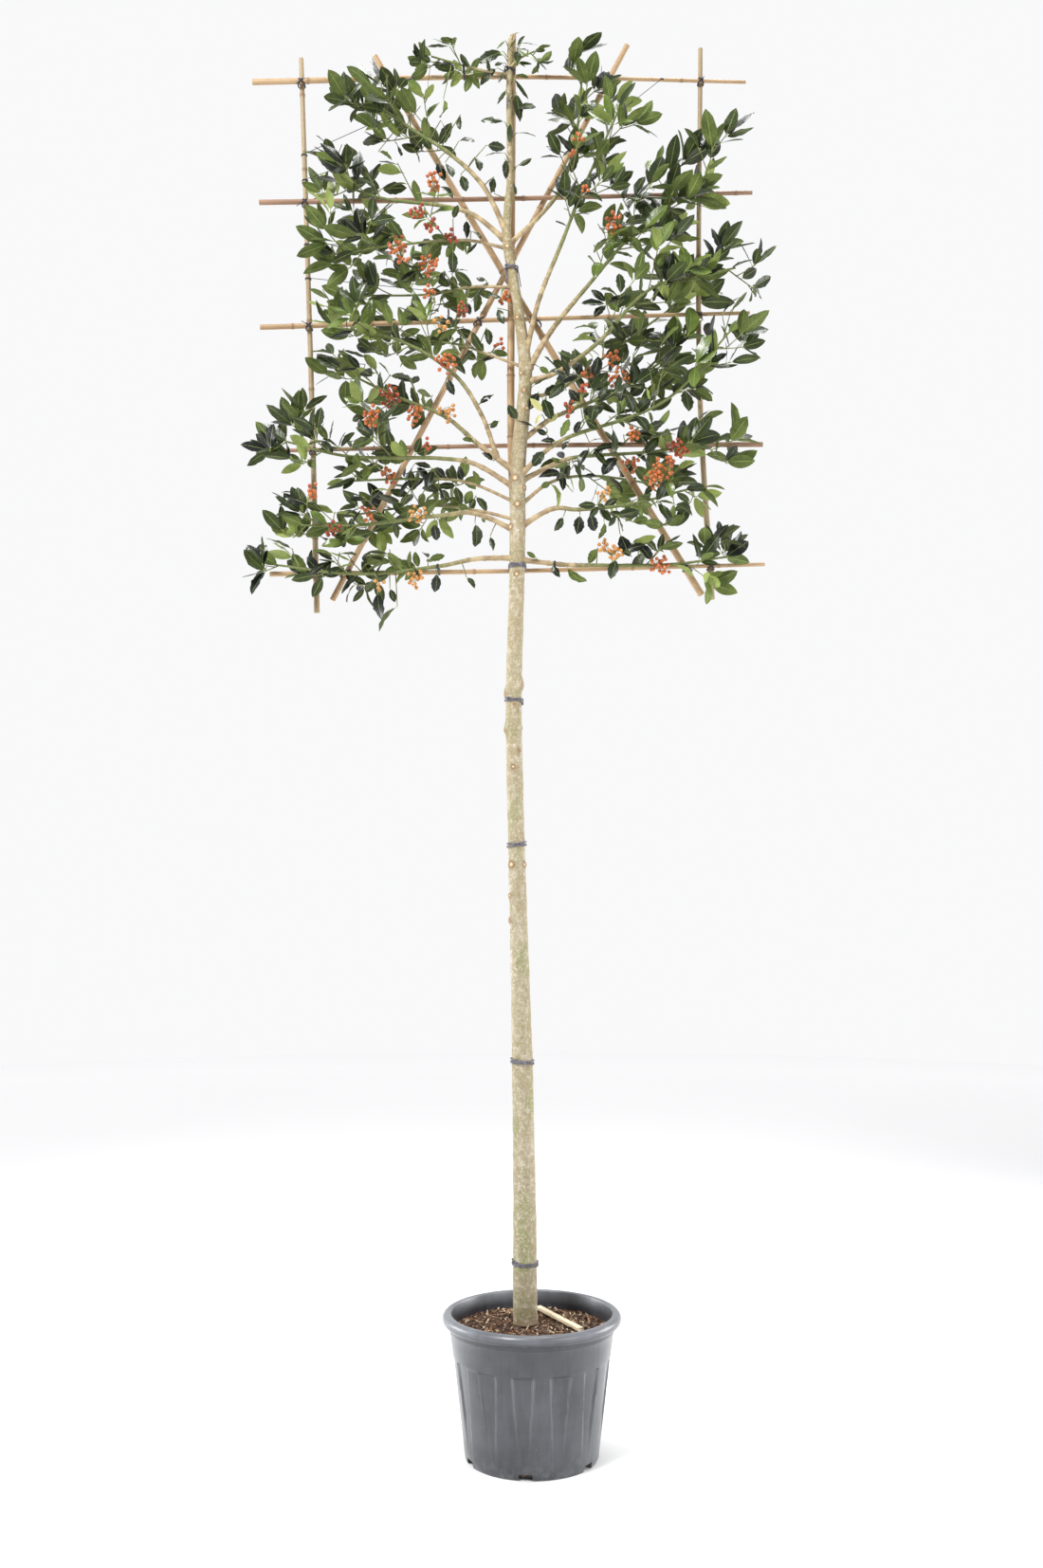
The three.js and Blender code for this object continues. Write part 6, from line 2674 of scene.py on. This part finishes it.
    def _add_leaf(self, heap: Heap, pose: LeafPose, tone: int) -> None:
        """Adds one leaf with its stalk.

        Args:
            heap: Where it goes.
            pose: How it sits.
            tone: Which of the plain colours it has.
        """
        template = self.template
        slots = (tone, len(LeafTone) + tone, 2 * len(LeafTone))
        points = pose.points(template.grid, template.teeth)
        heap.add(points, template.faces, [slots[s] for s in template.slots], template.grid)
        neck = pose.root + pose.aim * pose.length * (pose.stalk + 0.03)
        heap.tube(np.array([pose.root, neck]), np.array([0.0011, 0.0008]), 3, slots[2])

    def build_berries(self) -> None:
        """Hangs clusters of berries on the twigs nearest to their places."""
        Bench.clear()
        bpy.ops.mesh.primitive_ico_sphere_add(subdivisions=2, radius=1)
        model = Bench.start("berry_model")
        Bench.pick(model, lambda middle, normal: middle.z < -0.93)
        bpy.ops.mesh.inset(thickness=0.08)
        bpy.ops.transform.translate(value=(0, 0, 0.12))
        Bench.end(model)
        ball = Bench.corners(model)
        faces = [tuple(face.vertices) for face in model.data.polygons]
        low = (ball[:, 2] < -0.7) & (np.hypot(ball[:, 0], ball[:, 1]) < 0.33)
        eye = [len(BerryTone) if low[list(face)].all() else 0 for face in faces]
        bpy.data.objects.remove(model)
        berries, stalks = Heap(), Heap()
        draw = Chance(77)
        for perch in self.fruit:
            self._hang(perch, draw, (ball, faces, eye), (berries, stalks))
        tones = [BerryFinish(f"berry_{tone.name.lower()}", *tone.value) for tone in BerryTone]
        eye_finish = BerryFinish("berry_eye", tint(66, 40, 26), tint(44, 28, 20))
        piece = berries.piece("berries", [finish.material() for finish in (*tones, eye_finish)])
        Bench.smooth(piece, 60)
        hand_over(piece)
        stalk = GreenFinish("berry_stalk", tint(150, 156, 84), tint(124, 118, 66)).material()
        hand_over(stalks.piece("berry_stalks", [stalk]))

    def _hang(
        self,
        perch: Perch,
        draw: Chance,
        model: tuple[Array, list[tuple[int, ...]], list[int]],
        heaps: tuple[Heap, Heap],
    ) -> None:
        """Hangs one cluster on its twig.

        Args:
            perch: Where it hangs.
            draw: Its chances.
            model: Points, faces and face slots of one berry.
            heaps: Where berries and stalks are gathered.
        """
        ball, faces, eye = model
        berries, stalks = heaps
        tone = list(BerryTone).index(perch.cluster.tone)
        middles: list[Array] = []
        for _ in range(perch.cluster.berries * 16):
            if len(middles) > perch.cluster.berries * self.rule.fruitful:
                break
            radius = draw(*self.rule.berry_radius)
            middle = perch.middle + draw.direction() * perch.radius * draw(0.2, 1.0) * np.array([1, 0.7, 1.1])
            if any(np.linalg.norm(middle - other) < self.rule.berry_gap for other in middles):
                continue
            middles.append(middle)
            out = unit(middle - perch.foot + 0.4 * draw.direction() * radius)
            across = sideways(out, 0.0)
            axes = np.vstack([across, np.cross(-out, across), -out])
            berries.add(middle + ball @ axes * radius, faces, [slot or tone for slot in eye])
            bow = (perch.foot + middle) / 2 + UP * 0.002
            stalks.tube(np.array([perch.foot, bow, middle]), np.array([0.0009, 0.0007, 0.0007]), 3)

    def build(self) -> None:
        """Grows the crown and builds all of its pieces."""
        self.grow()
        LOG.info("%d twigs and %d leaves", len(self.shoots), len(self.leaves))
        self.build_limbs()
        self.build_twigs()
        self.build_leaves()
        self.build_berries()


# ---------------- studio


@dataclass
class Studio:
    """Plain pale floor with a painted glow on its far part, soft light and the camera."""

    camera_place: Point = (-0.025, -3.78, 1.37)
    camera_pitch: float = 3.86
    lens: float = 35.0
    film: float = 36.0
    floor_radius: float = 9.0
    backdrop: Colour = tint(249, 249, 250)
    front: float = 0.2
    side: float = 0.85
    lights: Sequence[tuple[str, Point, float, float]] = (
        ("key", (-2.4, -3.0, 5.2), 1.2, 250),
        ("overhead", (0.8, 0.6, 6.4), 1.6, 120),
        ("fill", (3.2, -3.0, 2.6), 2.4, 70),
        ("left_side", (-3.6, 1.2, 1.6), 2.0, 80),
        ("right_side", (3.6, 1.2, 1.6), 2.0, 80),
    )

    def _camera(self) -> None:
        """Sets up the camera."""
        data = bpy.data.cameras.new("camera")
        data.lens = self.lens
        data.sensor_fit = "VERTICAL"
        data.sensor_height = self.film
        data.clip_end = 60
        camera = bpy.data.objects.new("camera", data)
        camera.location = self.camera_place
        camera.rotation_euler = (math.radians(90 + self.camera_pitch), 0, 0)
        bpy.context.scene.collection.objects.link(camera)
        bpy.context.scene.camera = camera

    def _floor(self) -> None:
        """Lays the floor, a little greyer further off, with a painted glow on its far part where the lamps
        reach less.
        """
        Bench.clear()
        bpy.ops.mesh.primitive_circle_add(vertices=96, radius=self.floor_radius, fill_type="NGON")
        floor = Bench.end(Bench.start("floor"))
        graph = Graph("floor_paint")
        place = graph.place()
        away = (graph.axis(place, 0) ** 2.0 + graph.axis(place, 1) ** 2.0) ** 0.5
        clouds = graph.noise(place, 1.2, 3.0)
        colour = graph.blend(clouds.step(0.3, 0.7), tint(249, 249, 249), tint(247, 247, 247))
        colour = graph.blend(away.step(1.0, 4.5), colour, tint(243, 243, 244))
        # painted light: the floor beyond about 3 m glows, to stay pale where the lamps fall off
        painted_far_glow = graph.blend(away.step(3.2, 8.0) * 0.24, (0.0, 0.0, 0.0), (1.0, 1.0, 1.0))
        paint = graph.close(base_color=colour, roughness=0.9, emission_color=painted_far_glow, emission_strength=1.0)
        floor.data.materials.append(paint)

    def _light(self, name: str, place: Point, size: float, power: float) -> None:
        """Hangs one soft square light that looks at the middle of the tree.

        Args:
            name: Its name.
            place: Where it hangs.
            size: The length of its sides.
            power: Its power in watts.
        """
        data = bpy.data.lights.new(name, "AREA")
        data.size = size
        data.energy = power
        light = bpy.data.objects.new(name, data)
        light.location = place
        middle = Vector((0, 0, 1.9))
        light.rotation_euler = (middle - Vector(place)).to_track_quat("-Z", "Y").to_euler()
        bpy.context.scene.collection.objects.link(light)

    def _surround(self) -> None:
        """Sets the plain backdrop, which sheds less light than it shows, and least from the front."""
        graph = Graph("studio", "worlds")
        direction = graph.node("ShaderNodeTexCoord", {}, {})
        seen = graph.node("ShaderNodeLightPath", {}, {})
        shed = graph.axis(direction, 1).step(-1.0, 0.0) * (self.side - self.front) + self.front
        strength = seen + (1 - seen) * shed
        bpy.context.scene.world = graph.close(color=self.backdrop, strength=strength)

    def build(self) -> None:
        """Sets up the scene round the tree."""
        self._camera()
        self._floor()
        self._surround()
        for light in self.lights:
            self._light(*light)
        bpy.context.scene.view_settings.view_transform = "Standard"


# ---------------- assembly


def main() -> None:
    """Builds the studio and every sub-assembly in turn."""
    logging.basicConfig(level=logging.INFO, format="%(name)s: %(message)s")
    Studio().build()
    pot = Pot()
    pot.build()
    PottingMix(pot).build()
    Slat().build()
    Trunk().build()
    CaneFrame().build()
    TrunkTies().build()
    canopy = Canopy()
    canopy.build()
    Lashings(canopy).build()
    Bench.clear()


if __name__ == "__main__":
    main()
